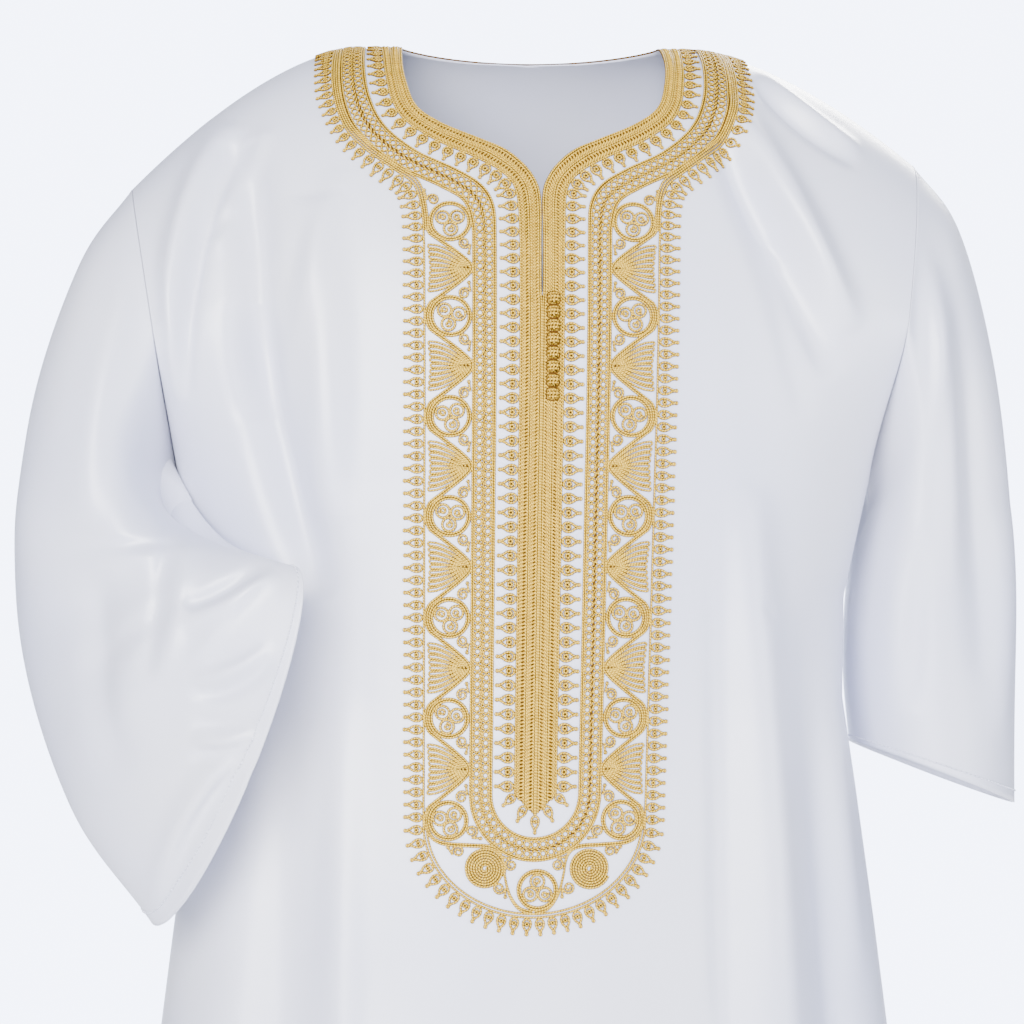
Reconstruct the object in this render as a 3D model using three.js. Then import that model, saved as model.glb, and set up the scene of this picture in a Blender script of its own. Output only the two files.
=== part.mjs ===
// A wide satin kaftan with corded embroidery, worn, with no wearer inside.
// Millimetres, +Z up, the front faces -Y. The origin is the middle of the shoulder line, where the
// shoulders hold the garment up. Every wall and trim is worked out from the sizes and tables below.
import * as THREE from 'three';

// Cloth walls and the gaps at their seams
const CLOTH = 1.8;
const SEAM_HALF = 0.2;
const ARMHOLE_GAP = 0.7;

// The body: half widths, depths of front and back, and the drop from shoulder line to chest and hem
const SHOULDER_TIP = 272;
const CHEST_HALF = 240;
const CHEST_DROP = 300;
const HEM_DROP = 1400;
const SHOULDER_FLAT = 118;
const SHOULDER_FALL = { left: 0.0345, right: 0.0275 };
const SHOULDER_POWER = 1.58;
const SECTION_POWER = 2.4;
const ARMHOLE_OPEN_TO = 60;
const FRONT = { side: -1, depth: 142, armhole: 100, stiff: { half: 104, end: 668 } };
const BACK = { side: 1, depth: 122, armhole: 88, stiff: { half: 160, end: 96 } };
const STIFF_FADE = 45;

// Where folds and flutes begin and end: share of the half width at the sides, length below the
// shoulder line, and the powers that shape their fading
const SIDE_FADE_FROM = 0.86;
const SHOULDER_FADE = 40;
const FOLD_FADE = 0.7;
const FLUTE_GROWTH = 1.3;
const SLEEVE_FOLD_FADE = 0.15;
const ARMHOLE_BLEND = 3;

// Grids of the walls: close rows round the neck, wider ones to the hem, columns of half a panel
const FRONT_GRID = { closeTo: 240, closeStep: 12, skirtSteps: 16, columns: 12 };
const BACK_GRID = { closeTo: 56, closeStep: 8, skirtSteps: 17, columns: 10 };
const LEFT_SLEEVE_GRID = { rings: 12, round: 22 };
const RIGHT_SLEEVE_GRID = { rings: 10, round: 20 };
const COLUMN_SPACING = 0.92;
const ROW_SPACING = 1.1;

// Sections below the chest, each at its drop from the shoulder line
const SECTIONS = [
  { drop: 300, half: 240, front: 142, back: 122 },
  { drop: 380, half: 222, front: 147, back: 124 },
  { drop: 450, half: 221, front: 150, back: 128 },
  { drop: 510, half: 230, front: 153, back: 134 },
  { drop: 604, half: 243, front: 157, back: 141 },
  { drop: 800, half: 268, front: 165, back: 158 },
  { drop: 1400, half: 352, front: 196, back: 196 },
];

// The neck opening, as half widths at each distance down from the shoulder line, then the slit
const NECK_EDGE = [
  { across: 89, down: 0 }, { across: 90.5, down: 45 }, { across: 88.5, down: 70 },
  { across: 82, down: 94 }, { across: 65, down: 109 }, { across: 41, down: 121 },
  { across: 24, down: 129.5 }, { across: 13, down: 139.5 }, { across: 5.5, down: 150 },
  { across: 0.9, down: 165 }, { across: 0.9, down: 200 },
];
const SLIT_HALF = 0.9;
const SLIT_END = 232;
const BACK_NECK_DROP = 28;

// The lines that the embroidery follows on one side of the front, from the shoulder line down to
// PANEL_TOP. Below that each runs straight at its last half width, narrowing a little, to its end.
// The mid band and the outer lines turn round the bottom there, and "round" is how far down they
// reach in the middle. "back" is how far down each reaches behind the neck.
const PANEL_TOP = 200;
const PLACKET_END = 570;
const MID_TURN = 566;
const OUTER_TURN = 586;
const LINES = {
  braid: {
    end: PLACKET_END, round: 0, back: 43,
    rows: [[104, 0], [103, 50], [101, 75], [98, 91], [90, 107], [70, 123], [45, 136], [26, 148],
      [17, 163], [15, PANEL_TOP]],
  },
  braidDrops: {
    end: PLACKET_END, round: 0,
    rows: [[112, 0], [111, 50], [109, 78], [104, 97], [94, 115], [74, 131], [50, 144], [34, 155],
      [27, 170], [26, PANEL_TOP]],
  },
  midInner: {
    end: MID_TURN, round: 28, back: 56,
    rows: [[114, 0], [116, 50], [113, 85], [103, 111], [82.5, 131], [56.5, 145], [39.5, 157],
      [31.5, 173], [30.5, PANEL_TOP]],
  },
  midOuter: {
    end: MID_TURN, round: 44, back: 69,
    rows: [[127, 0], [130.5, 65], [126, 101], [112.5, 124], [93.5, 141], [66.5, 156], [51.5, 168],
      [47, 187], [46.8, PANEL_TOP]],
  },
  cordInner: {
    end: OUTER_TURN, round: 57.5, back: 74,
    rows: [[132, 0], [135.5, 65], [130, 103], [117, 125], [95, 144], [82, 155], [77, 175],
      [76, PANEL_TOP]],
  },
  cordOuter: {
    end: OUTER_TURN, round: 61,
    rows: [[135.5, 0], [139, 65], [133, 105], [120, 128], [97.5, 147], [85.5, 158], [80.5, 176],
      [79.5, PANEL_TOP]],
  },
  tips: {
    end: OUTER_TURN, round: 73, back: 90,
    rows: [[149, 0], [151, 65], [146.5, 95], [135.5, 125], [118, 148], [100, 168], [94.5, 188],
      [93.5, PANEL_TOP]],
  },
};
// The worn front hangs a little askew: its middle line drifts and the panel narrows downwards
const MIDDLE_AT_TOP = 3.5;
const MIDDLE_DRIFT = 0.0195;
const PANEL_NARROWING = 0.00019;
const SKEW_FROM = 184;

// Embroidery heights over the cloth, and its motifs
const TRIM_GAP = 0.75;
const BRAID_STEPS = [22, 8, 0];
const MID_BAND_STEPS = [18, 8, 8];
const OUTER_CORD_STEPS = [20, 8, 8];
const BACK_BAND_STEPS = 20;
const BRAID_HEIGHT = 1.8;
const BAND_HEIGHT = 1.5;
const MOTIF_HEIGHT = 1.5;
// A row of drops is a toothed strip, from its root to its valleys and tips as shares of its width.
// Counts are the steps in the yoke, the straight run and half of the round.
const DROP_ROOT = 0.06;
const DROP_VALLEY = 0.3;
const INNER_DROPS = [30, 80, 0];
const OUTER_DROPS = [34, 82, 26];
const MOTIF_ACROSS = 61.5;
const CIRCLE_DOWN = [184, 250, 317, 383, 450, 516, 583];
const CIRCLE_RADIUS = 14;
const CIRCLE_HOLE = 8.5;
const ROUND_STEPS = 10;
const FAN_HALF_HEIGHT = 15;
const FAN_REACH = 12.5;
const FAN_LOOPS = 4;
const FAN_VALLEY = 0.8;
const FAN_APEX_HALF = 2.5;
const FAN_ROUNDING = 0.35;
const SPIRAL_RADIUS = 12.5;
const SPIRAL_EYE = 1.2;
const SPIRAL_ACROSS = 36.5;
const SPIRAL_DOWN = 615;
const BOTTOM_CIRCLE_DOWN = 627;

// Knot buttons beside the slit
const BUTTON = { count: 8, radius: 3.4, firstDown: 238, pitch: 9.2, across: 7.5, lift: 3.7 };

// The largest folds of the front and back, each a soft ridge (height over 0) or trough along a
// curve in the front view: start, bend and end as x and z, with a width on either side of it
const FRONT_FOLDS = [
  { x0: -176, z0: -48, x1: -218, z1: -110, x2: -236, z2: -240, left: 20, right: 9, height: 9 },
  { x0: -200, z0: -150, x1: -186, z1: -250, x2: -160, z2: -400, left: 20, right: 22, height: -13 },
  { x0: 140, z0: -40, x1: 185, z1: -110, x2: 206, z2: -210, left: 22, right: 16, height: 5 },
  { x0: 92, z0: -330, x1: 96, z1: -500, x2: 118, z2: -900, left: 26, right: 24, height: -8 },
  { x0: 132, z0: -300, x1: 146, z1: -440, x2: 172, z2: -900, left: 24, right: 20, height: 8 },
  { x0: 176, z0: -380, x1: 192, z1: -560, x2: 228, z2: -1000, left: 22, right: 20, height: -7 },
  { x0: -118, z0: -420, x1: -112, z1: -560, x2: -128, z2: -950, left: 24, right: 26, height: 7 },
];
const BACK_FOLDS = [
  { x0: -150, z0: -60, x1: -196, z1: -150, x2: -214, z2: -270, left: 20, right: 16, height: 7 },
  { x0: 150, z0: -60, x1: 194, z1: -140, x2: 216, z2: -260, left: 16, right: 20, height: 6 },
  { x0: -96, z0: -260, x1: -88, z1: -460, x2: -120, z2: -900, left: 26, right: 24, height: -8 },
  { x0: 70, z0: -300, x1: 84, z1: -520, x2: 92, z2: -960, left: 24, right: 28, height: -7 },
];
// Flutes of the skirt: each keeps its share of the half width and grows towards the hem
const FLUTES_FROM = 480;
const FRONT_FLUTES = [
  { share: -0.84, width: 0.075, height: 15 }, { share: -0.60, width: 0.07, height: -13 },
  { share: -0.38, width: 0.09, height: 14 }, { share: -0.14, width: 0.07, height: -12 },
  { share: 0.08, width: 0.085, height: 11 }, { share: 0.32, width: 0.08, height: -14 },
  { share: 0.56, width: 0.075, height: 17 }, { share: 0.81, width: 0.08, height: -12 },
];
const BACK_FLUTES = [
  { share: -0.80, width: 0.08, height: 13 }, { share: -0.52, width: 0.085, height: -14 },
  { share: -0.24, width: 0.08, height: 16 }, { share: 0.03, width: 0.09, height: -12 },
  { share: 0.30, width: 0.08, height: 13 }, { share: 0.55, width: 0.075, height: -15 },
  { share: 0.80, width: 0.085, height: 14 },
];

// Sleeve rings: the outer fold line, the underarm line and the half thickness towards the front,
// with the half thickness behind as a share of it
const RIGHT_SLEEVE = [
  { outer: [272, 0, -79], under: [240, 0, -300], front: [0, -92, 0], back: 0.9 },
  { outer: [302, 4, -120], under: [250, 4, -322], front: [6, -90, -6], back: 0.95 },
  { outer: [326, 9, -210], under: [244, 8, -350], front: [6, -84, -8], back: 1 },
  { outer: [340, 15, -320], under: [238, 12, -396], front: [2, -80, -6], back: 1 },
  { outer: [346, 22, -425], under: [237, 18, -440], front: [0, -78, -2], back: 1 },
  { outer: [349, 28, -528], under: [240, 24, -484], front: [0, -80, 2], back: 1 },
];
const LEFT_SLEEVE = [
  { outer: [-272, 0, -98], under: [-240, 0, -300], front: [0, -92, 0], back: 0.9 },
  { outer: [-306, -4, -150], under: [-248, -34, -320], front: [-14, -86, -8], back: 0.7 },
  { outer: [-334, -4, -255], under: [-228, -86, -336], front: [-30, -68, -12], back: 0.55 },
  { outer: [-344, -10, -400], under: [-204, -132, -346], front: [-26, -50, -6], back: 0.7 },
  { outer: [-312, -54, -520], under: [-182, -160, -352], front: [-8, -50, -8], back: 0.85 },
  { outer: [-256, -104, -596], under: [-160, -180, -358], front: [18, -44, -14], back: 0.9 },
];
// Folds of the sleeves: where they run round (degrees from the outer line by way of the front) and
// along (0 at the armhole, 1 at the cuff), with their half lengths and heights
const RIGHT_SLEEVE_FOLDS = [
  { round: 70, along: 0.45, halfRound: 16, halfAlong: 0.32, height: -8 },
  { round: 120, along: 0.55, halfRound: 15, halfAlong: 0.34, height: 6 },
  { round: 250, along: 0.5, halfRound: 18, halfAlong: 0.36, height: -8 },
  { round: 25, along: 0.6, halfRound: 16, halfAlong: 0.3, height: 5 },
];
const LEFT_SLEEVE_FOLDS = [
  { round: 60, along: 0.5, halfRound: 22, halfAlong: 0.07, height: 6 },
  { round: 95, along: 0.62, halfRound: 34, halfAlong: 0.05, height: -7 },
  { round: 80, along: 0.76, halfRound: 30, halfAlong: 0.05, height: 6 },
  { round: 250, along: 0.5, halfRound: 22, halfAlong: 0.3, height: -6 },
];

const SATIN = { color: 0xe9e9ec, roughness: 0.42, metalness: 0 };
const GOLD = { color: 0xd9b878, roughness: 0.5, metalness: 0.25 };

const degrees = THREE.MathUtils.degToRad;
const mix = THREE.MathUtils.lerp;
const clamp = THREE.MathUtils.clamp;
const smooth = (value, low, high) => THREE.MathUtils.smoothstep(value, low, high);
const point = (x, y, z) => new THREE.Vector3(x, y, z);

// A column of SECTIONS at a drop from the shoulder line
function section(drop, column) {
  const last = SECTIONS.length - 1;
  const found = SECTIONS.findIndex((row) => row.drop >= drop);
  const next = clamp(found < 0 ? last : found, 1, last);
  const low = SECTIONS[next - 1];
  const high = SECTIONS[next];
  const share = clamp((drop - low.drop) / (high.drop - low.drop), 0, 1);
  return mix(low[column], high[column], share);
}

// Height of the shoulder line at a distance from the middle
function shoulderHeight(x) {
  const beyond = Math.max(0, Math.abs(x) - SHOULDER_FLAT);
  return -(x < 0 ? SHOULDER_FALL.left : SHOULDER_FALL.right) * beyond ** SHOULDER_POWER;
}

// Quarter ellipse from the shoulder line to the chest: the turn at a length down from the line
function rollTable(depth) {
  const steps = 240;
  const rows = [{ turn: 0, length: 0 }];
  for (let i = 1; i <= steps; i += 1) {
    const turn = (i / steps) * (Math.PI / 2);
    const before = rows[i - 1];
    const across = depth * (Math.sin(turn) - Math.sin(before.turn));
    const fall = CHEST_DROP * (Math.cos(before.turn) - Math.cos(turn));
    rows.push({ turn, length: before.length + Math.hypot(across, fall) });
  }
  return rows;
}
for (const panel of [FRONT, BACK]) {
  panel.roll = rollTable(panel.depth);
  panel.rollLength = panel.roll[panel.roll.length - 1].length;
}
function turnAt(panel, down) {
  const rows = panel.roll;
  const next = clamp(rows.findIndex((row) => row.length >= down), 1, rows.length - 1);
  const low = rows[next - 1];
  const share = (down - low.length) / (rows[next].length - low.length);
  return mix(low.turn, rows[next].turn, clamp(share, 0, 1));
}

// Half width of a panel at a length down from the shoulder line
function halfWidth(panel, down) {
  if (down < panel.rollLength) {
    return CHEST_HALF + (SHOULDER_TIP - CHEST_HALF) * Math.cos(turnAt(panel, down));
  }
  return section(CHEST_DROP + down - panel.rollLength, 'half');
}

// A point of a panel with no folds: across is x, down is the length from the shoulder line
function plainPoint(panel, across, down) {
  const half = halfWidth(panel, down);
  const share = clamp(across / half, -1, 1);
  const closed = (1 - Math.abs(share) ** SECTION_POWER) ** (1 / SECTION_POWER);
  if (down >= panel.rollLength) {
    const drop = CHEST_DROP + down - panel.rollLength;
    const depth = section(drop, panel.side < 0 ? 'front' : 'back');
    return point(across, panel.side * (depth * closed + SEAM_HALF), -drop);
  }
  const turn = turnAt(panel, down);
  const opened = 1 - (1 - panel.armhole / panel.depth) * share * share;
  const closing = smooth(turn, degrees(ARMHOLE_OPEN_TO), Math.PI / 2);
  const profile = mix(opened, closed, closing);
  const top = shoulderHeight(SHOULDER_TIP * share);
  const y = panel.side * (panel.depth * Math.sin(turn) * profile + SEAM_HALF);
  return point(across, y, top - (top + CHEST_DROP) * (1 - Math.cos(turn)));
}

// Height of one fold at x, z: a soft ridge along its curve, fading at both ends
function foldHeight(fold, x, z) {
  const steps = 14;
  let nearest = Infinity;
  let signed = 0;
  let place = 0;
  for (let i = 0; i <= steps; i += 1) {
    const t = i / steps;
    const cx = (1 - t) ** 2 * fold.x0 + 2 * t * (1 - t) * fold.x1 + t * t * fold.x2;
    const cz = (1 - t) ** 2 * fold.z0 + 2 * t * (1 - t) * fold.z1 + t * t * fold.z2;
    const distance = Math.hypot(x - cx, z - cz);
    if (distance < nearest) {
      nearest = distance;
      signed = x - cx;
      place = t;
    }
  }
  const width = signed < 0 ? fold.left : fold.right;
  const fade = Math.sin(Math.PI * clamp(place, 0, 1)) ** FOLD_FADE;
  return fold.height * fade * Math.exp(-((nearest / width) ** 2));
}

// Folds and flutes of a panel, none at its seams
function panelRelief(panel, across, down, plain) {
  const half = halfWidth(panel, down);
  const share = across / half;
  const folds = panel.side < 0 ? FRONT_FOLDS : BACK_FOLDS;
  const flutes = panel.side < 0 ? FRONT_FLUTES : BACK_FLUTES;
  let relief = 0;
  for (const fold of folds) {
    relief += foldHeight(fold, plain.x, plain.z);
  }
  const growth = clamp((-plain.z - FLUTES_FROM) / (HEM_DROP - FLUTES_FROM), 0, 1) ** FLUTE_GROWTH;
  for (const flute of flutes) {
    relief += flute.height * growth * Math.exp(-(((share - flute.share) / flute.width) ** 2));
  }
  const atSides = 1 - smooth(Math.abs(share), SIDE_FADE_FROM, 1);
  const atShoulder = smooth(down, 0, SHOULDER_FADE);
  return relief * atSides * atShoulder * beyondEmbroidery(panel, across, down);
}

// The embroidery stiffens the cloth: 0 on it and near it, 1 well outside it
function beyondEmbroidery(panel, across, down) {
  const { half, end } = panel.stiff;
  const outside = Math.max(Math.abs(across) - half, down - end);
  return smooth(outside, 0, STIFF_FADE);
}

// Outward direction of the plain panel, by small steps along it
function panelNormal(panel, across, down) {
  const step = 0.5;
  const half = halfWidth(panel, down);
  const side = clamp(across, -half + step * 2, half - step * 2);
  const low = Math.max(down, step);
  const acrossward = plainPoint(panel, side + step, low).sub(plainPoint(panel, side - step, low));
  const downward = plainPoint(panel, side, low + step).sub(plainPoint(panel, side, low - step));
  const normal = acrossward.cross(downward).normalize();
  return panel.side < 0 ? normal.negate() : normal;
}

// The finished outer point of a panel, moved out by a lift, with its outward direction
function panelPoint(panel, across, down, lift = 0) {
  const plain = plainPoint(panel, across, down);
  const normal = panelNormal(panel, across, down);
  const relief = panelRelief(panel, across, down, plain);
  return { place: plain.addScaledVector(normal, relief + lift), normal };
}

// Volume inside a closed list of triangles, under 0 where their faces point inwards
function signedVolume(places, triangles) {
  return triangles.reduce((sum, [a, b, c]) => {
    const across = new THREE.Vector3().crossVectors(places[b], places[c]);
    return sum + places[a].dot(across) / 6;
  }, 0);
}

// One closed wall from outer points, inner points and the triangles of the outer face. Edges that
// only one triangle has become the rim, and the faces are turned to point outwards.
function wall(outer, inner, faces) {
  const count = outer.length;
  const triangles = [];
  const edges = new Map();
  for (const [a, b, c] of faces) {
    triangles.push([a, b, c], [a + count, c + count, b + count]);
    for (const [from, to] of [[a, b], [b, c], [c, a]]) {
      const back = `${to},${from}`;
      if (edges.has(back)) {
        edges.delete(back);
      } else {
        edges.set(`${from},${to}`, [from, to]);
      }
    }
  }
  for (const [from, to] of edges.values()) {
    triangles.push([to, from, from + count], [to, from + count, to + count]);
  }
  const places = [...outer, ...inner];
  const outwards = signedVolume(places, triangles) > 0;
  const index = triangles.flatMap(([a, b, c]) => (outwards ? [a, b, c] : [a, c, b]));
  const geometry = new THREE.BufferGeometry().setFromPoints(places);
  geometry.setIndex(index);
  geometry.computeVertexNormals();
  return geometry;
}

// Triangles of a grid of rows and columns of point numbers, two to a cell
function gridFaces(grid) {
  const faces = [];
  for (let r = 0; r + 1 < grid.length; r += 1) {
    for (let c = 0; c + 1 < grid[r].length; c += 1) {
      const [a, b] = [grid[r][c], grid[r][c + 1]];
      const [d, e] = [grid[r + 1][c + 1], grid[r + 1][c]];
      faces.push([a, e, d], [a, d, b]);
    }
  }
  return faces.filter(([a, b, c]) => a !== b && b !== c && c !== a);
}

function namedMesh(name, geometry, finish) {
  const mesh = new THREE.Mesh(geometry, new THREE.MeshStandardMaterial(finish));
  mesh.name = name;
  return mesh;
}

// A smooth line through rows, as a function of the share of its length
function smoothLine(rows) {
  const places = rows.map(([across, down]) => point(across, down, 0));
  return new THREE.CatmullRomCurve3(places, false, 'centripetal');
}
const neckCurve = smoothLine(NECK_EDGE.map((row) => [row.across, row.down]));
const neckPoints = neckCurve.getSpacedPoints(60);

// Half width of the neck opening at a length down from the shoulder line, or 0 below the slit
function neckHalf(panel, down) {
  if (panel.side > 0) {
    const share = down / BACK_NECK_DROP;
    return share < 1 ? NECK_EDGE[0].across * Math.sqrt(1 - share * share) : 0;
  }
  if (down >= SLIT_END) {
    return 0;
  }
  const next = neckPoints.findIndex((place) => place.y >= down);
  if (next < 0) {
    return SLIT_HALF;
  }
  if (next === 0) {
    return neckPoints[0].x;
  }
  const [low, high] = [neckPoints[next - 1], neckPoints[next]];
  return mix(low.x, high.x, (down - low.y) / (high.y - low.y));
}

// The worn lines' place: half widths of the embroidery turned into x on the front
function middleAt(down) {
  return MIDDLE_AT_TOP - MIDDLE_DRIFT * Math.max(0, down - SKEW_FROM);
}
function narrowing(down) {
  return 1 - PANEL_NARROWING * Math.max(0, down - SKEW_FROM);
}
function skewed(across, down) {
  return middleAt(down) + across * narrowing(down);
}

// Rows of a panel: close together round the neck, wider apart towards the hem
function panelRows(panel, { closeTo, closeStep, skirtSteps }) {
  const rows = [];
  for (let down = 0; down < closeTo; down += closeStep) {
    rows.push(down);
  }
  const end = panel.rollLength + HEM_DROP - CHEST_DROP;
  for (let i = 0; i <= skirtSteps; i += 1) {
    rows.push(mix(closeTo, end, (i / skirtSteps) ** ROW_SPACING));
  }
  return rows;
}

// A body panel: two half grids that share their middle points below the neck and slit
function panelWall(panel, spacing) {
  const outer = [];
  const inner = [];
  const middles = new Map();
  const addPoint = (across, down) => {
    const { place, normal } = panelPoint(panel, across, down);
    const inside = place.clone().addScaledVector(normal, -CLOTH);
    const seam = panel.side * SEAM_HALF;
    inside.y = panel.side < 0 ? Math.min(inside.y, seam) : Math.max(inside.y, seam);
    outer.push(place);
    inner.push(inside);
    return outer.length - 1;
  };
  const grids = { left: [], right: [] };
  const { columns } = spacing;
  for (const down of panelRows(panel, spacing)) {
    const half = halfWidth(panel, down);
    const opening = neckHalf(panel, down);
    const middle = panel.side < 0 ? middleAt(down) : MIDDLE_AT_TOP;
    for (const [name, sign] of [['left', -1], ['right', 1]]) {
      const row = [];
      for (let c = 0; c <= columns; c += 1) {
        const share = Math.sin((c / columns) * (Math.PI / 2)) ** COLUMN_SPACING;
        const start = middle + sign * opening;
        const across = mix(start, sign * half, share);
        if (c === 0 && opening === 0) {
          if (!middles.has(down)) {
            middles.set(down, addPoint(middle, down));
          }
          row.push(middles.get(down));
        } else {
          row.push(addPoint(across, down));
        }
      }
      grids[name].push(row);
    }
  }
  const mirrored = grids.right.map((row) => [...row].reverse());
  const faces = [...gridFaces(grids.left), ...gridFaces(mirrored)];
  return wall(outer, inner, faces);
}

// Sleeve rows at a share of its length, smoothly between the rings
function sleeveCurves(rings) {
  const curve = (column) => new THREE.CatmullRomCurve3(rings.map((r) => point(...r[column])));
  return { outer: curve('outer'), under: curve('under'), front: curve('front') };
}
function ringPoint(curves, backShare, round, along) {
  const outer = curves.outer.getPoint(along);
  const under = curves.under.getPoint(along);
  const front = curves.front.getPoint(along);
  const centre = outer.clone().add(under).multiplyScalar(0.5);
  const reach = outer.sub(under).multiplyScalar(0.5);
  const bulge = Math.sin(round) * (Math.sin(round) < 0 ? backShare : 1);
  return centre.addScaledVector(reach, Math.cos(round)).addScaledVector(front, bulge);
}

// The armhole edge that a sleeve starts from, a gap outside the panels' side edges
function armholePoint(side, round) {
  const behind = round > Math.PI;
  const panel = behind ? BACK : FRONT;
  const turn = (behind ? 2 * Math.PI - round : round) / 2;
  const next = panel.roll.findIndex((row) => row.turn >= turn - 1e-9);
  const down = panel.roll[Math.max(next, 0)].length;
  const edge = plainPoint(panel, side * halfWidth(panel, down), down);
  return edge.add(point(side * ARMHOLE_GAP, 0, 0));
}

// A point of a sleeve's outer face with its folds
function sleevePoint(side, rings, curves, folds, round, along) {
  const stretch = along * (rings.length - 1);
  const first = Math.min(Math.floor(stretch), rings.length - 2);
  const backShare = mix(rings[first].back, rings[first + 1].back, stretch - first);
  const place = ringPoint(curves, backShare, round, along);
  const start = ringPoint(curves, rings[0].back, round, 0);
  place.add(armholePoint(side, round).sub(start).multiplyScalar((1 - along) ** ARMHOLE_BLEND));
  const centre = curves.outer.getPoint(along).add(curves.under.getPoint(along)).multiplyScalar(0.5);
  const away = place.clone().sub(centre).normalize();
  let relief = 0;
  for (const fold of folds) {
    const turned = (THREE.MathUtils.radToDeg(round) - fold.round) / fold.halfRound;
    const moved = (along - fold.along) / fold.halfAlong;
    relief += fold.height * Math.exp(-(turned * turned + moved * moved));
  }
  return place.addScaledVector(away, relief * smooth(along, 0, SLEEVE_FOLD_FADE));
}

// A sleeve: rings of outer points and the same points moved in by the cloth's thickness
function sleeveWall(side, rings, folds, spacing) {
  const { rings: ringCount, round: roundCount } = spacing;
  const curves = sleeveCurves(rings);
  const grid = [];
  const outer = [];
  for (let r = 0; r <= ringCount; r += 1) {
    const along = r / ringCount;
    const row = [];
    for (let c = 0; c < roundCount; c += 1) {
      const round = (c / roundCount) * 2 * Math.PI;
      row.push(outer.length);
      outer.push(sleevePoint(side, rings, curves, folds, round, along));
    }
    grid.push([...row, row[0]]);
  }
  const faces = gridFaces(side < 0 ? grid.map((row) => [...row].reverse()) : grid);
  const face = new THREE.BufferGeometry().setFromPoints(outer);
  face.setIndex(faces.flat());
  face.computeVertexNormals();
  const normals = face.getAttribute('normal');
  const inner = outer.map((place, i) => {
    const normal = new THREE.Vector3().fromBufferAttribute(normals, i);
    const inside = place.clone().addScaledVector(normal, -CLOTH);
    if (i < roundCount) {
      inside.x = side * Math.max(side * inside.x, side * place.x);
    }
    return inside;
  });
  return wall(outer, inner, faces);
}

// A place on one of the LINES, on one side of the front. Stage 0 to 1 is the yoke, 1 to 2 the
// straight run, 2 to 3 the quarter round the bottom.
const lineCurves = {};
for (const [name, line] of Object.entries(LINES)) {
  lineCurves[name] = smoothLine(line.rows);
}
function linePlace(name, stage) {
  const line = LINES[name];
  const straight = line.rows[line.rows.length - 1][0];
  if (stage <= 1) {
    const place = lineCurves[name].getPointAt(clamp(stage, 0, 1));
    return [place.x, place.y];
  }
  if (stage <= 2) {
    return [straight, mix(PANEL_TOP, line.end, stage - 1)];
  }
  const turn = degrees(90) * (stage - 2);
  return [straight * Math.cos(turn), line.end + line.round * Math.sin(turn)];
}

// Puts a middle place between each two places of a row, so that a wide band bends with the cloth
function halved(row) {
  return row.flatMap((place, i) => {
    const next = row[i + 1];
    return next ? [place, [mix(place[0], next[0], 0.5), mix(place[1], next[1], 0.5)]] : [place];
  });
}

// A raised trim on a panel from rows of [across, down] places, and how high it stands. A closed
// one goes round to its first row again.
function raisedTrim(panel, rows, height, closed = false) {
  const outer = [];
  const inner = [];
  const grid = rows.map((row) => row.map(([across, down]) => {
    const { place, normal } = panelPoint(panel, across, down, TRIM_GAP);
    inner.push(place);
    outer.push(place.clone().addScaledVector(normal, height));
    return outer.length - 1;
  }));
  return wall(outer, inner, gridFaces(closed ? [...grid, grid[0]] : grid));
}

// Stages of the route with equal steps in each stretch
function stages(yokeSteps, straightSteps, roundSteps) {
  const list = [];
  for (let i = 0; i < yokeSteps; i += 1) {
    list.push(i / yokeSteps);
  }
  for (let i = 0; i < straightSteps; i += 1) {
    list.push(1 + i / straightSteps);
  }
  for (let i = 0; i <= roundSteps; i += 1) {
    list.push(roundSteps ? 2 + i / roundSteps : 2);
  }
  return list;
}

// Two lines' places at a stage, on the side that sign gives
function pair(innerLine, outerLine, stage, sign) {
  return [innerLine, outerLine].map((name) => {
    const [across, down] = linePlace(name, stage);
    return [skewed(sign * across, down), down];
  });
}

// The neck and placket braid of one side
function braidRows(sign) {
  return stages(...BRAID_STEPS).map((stage) => {
    const [across, down] = linePlace('braid', stage);
    const edge = stage < 1 ? neckCurve.getPointAt(stage) : point(SLIT_HALF, down, 0);
    return halved([[skewed(sign * edge.x, edge.y), edge.y], [skewed(sign * across, down), down]]);
  });
}

// A row of drops on one side: a strip whose every second place reaches to the tips
function dropRows(innerLine, tipLine, counts, sign) {
  return stages(...counts).map((stage, i) => {
    const [edge, tip] = pair(innerLine, tipLine, stage, sign);
    const at = (share) => [mix(edge[0], tip[0], share), mix(edge[1], tip[1], share)];
    return [at(DROP_ROOT), at(i % 2 === 1 ? 1 : DROP_VALLEY)];
  });
}

// The whole route of a band: down one side, round the bottom and up the other
function wholeRoute(innerLine, outerLine, counts) {
  const list = stages(...counts);
  const left = list.map((stage) => pair(innerLine, outerLine, stage, -1));
  const right = list.slice(0, -1).map((stage) => pair(innerLine, outerLine, stage, 1));
  return [...left, ...right.reverse()];
}

// Half ellipses that carry a band round the back of the neck
function backRows(innerLine, outerLine, steps) {
  const size = (name) => (name === 'neck'
    ? [NECK_EDGE[0].across, BACK_NECK_DROP]
    : [LINES[name].rows[0][0], LINES[name].back]);
  const rows = [];
  for (let i = 0; i <= steps; i += 1) {
    const turn = (i / steps) * Math.PI;
    rows.push([innerLine, outerLine].map((name) => {
      const [across, drop] = size(name);
      return [MIDDLE_AT_TOP - across * Math.cos(turn), Math.max(drop * Math.sin(turn), TRIM_GAP)];
    }));
  }
  return rows.map(halved);
}

// Every row starts just below the shoulder line, so front and back trims stay apart there
function offTheShoulder(rows) {
  return rows.map((row) => row.map(([across, down]) => [across, Math.max(down, TRIM_GAP)]));
}

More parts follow.
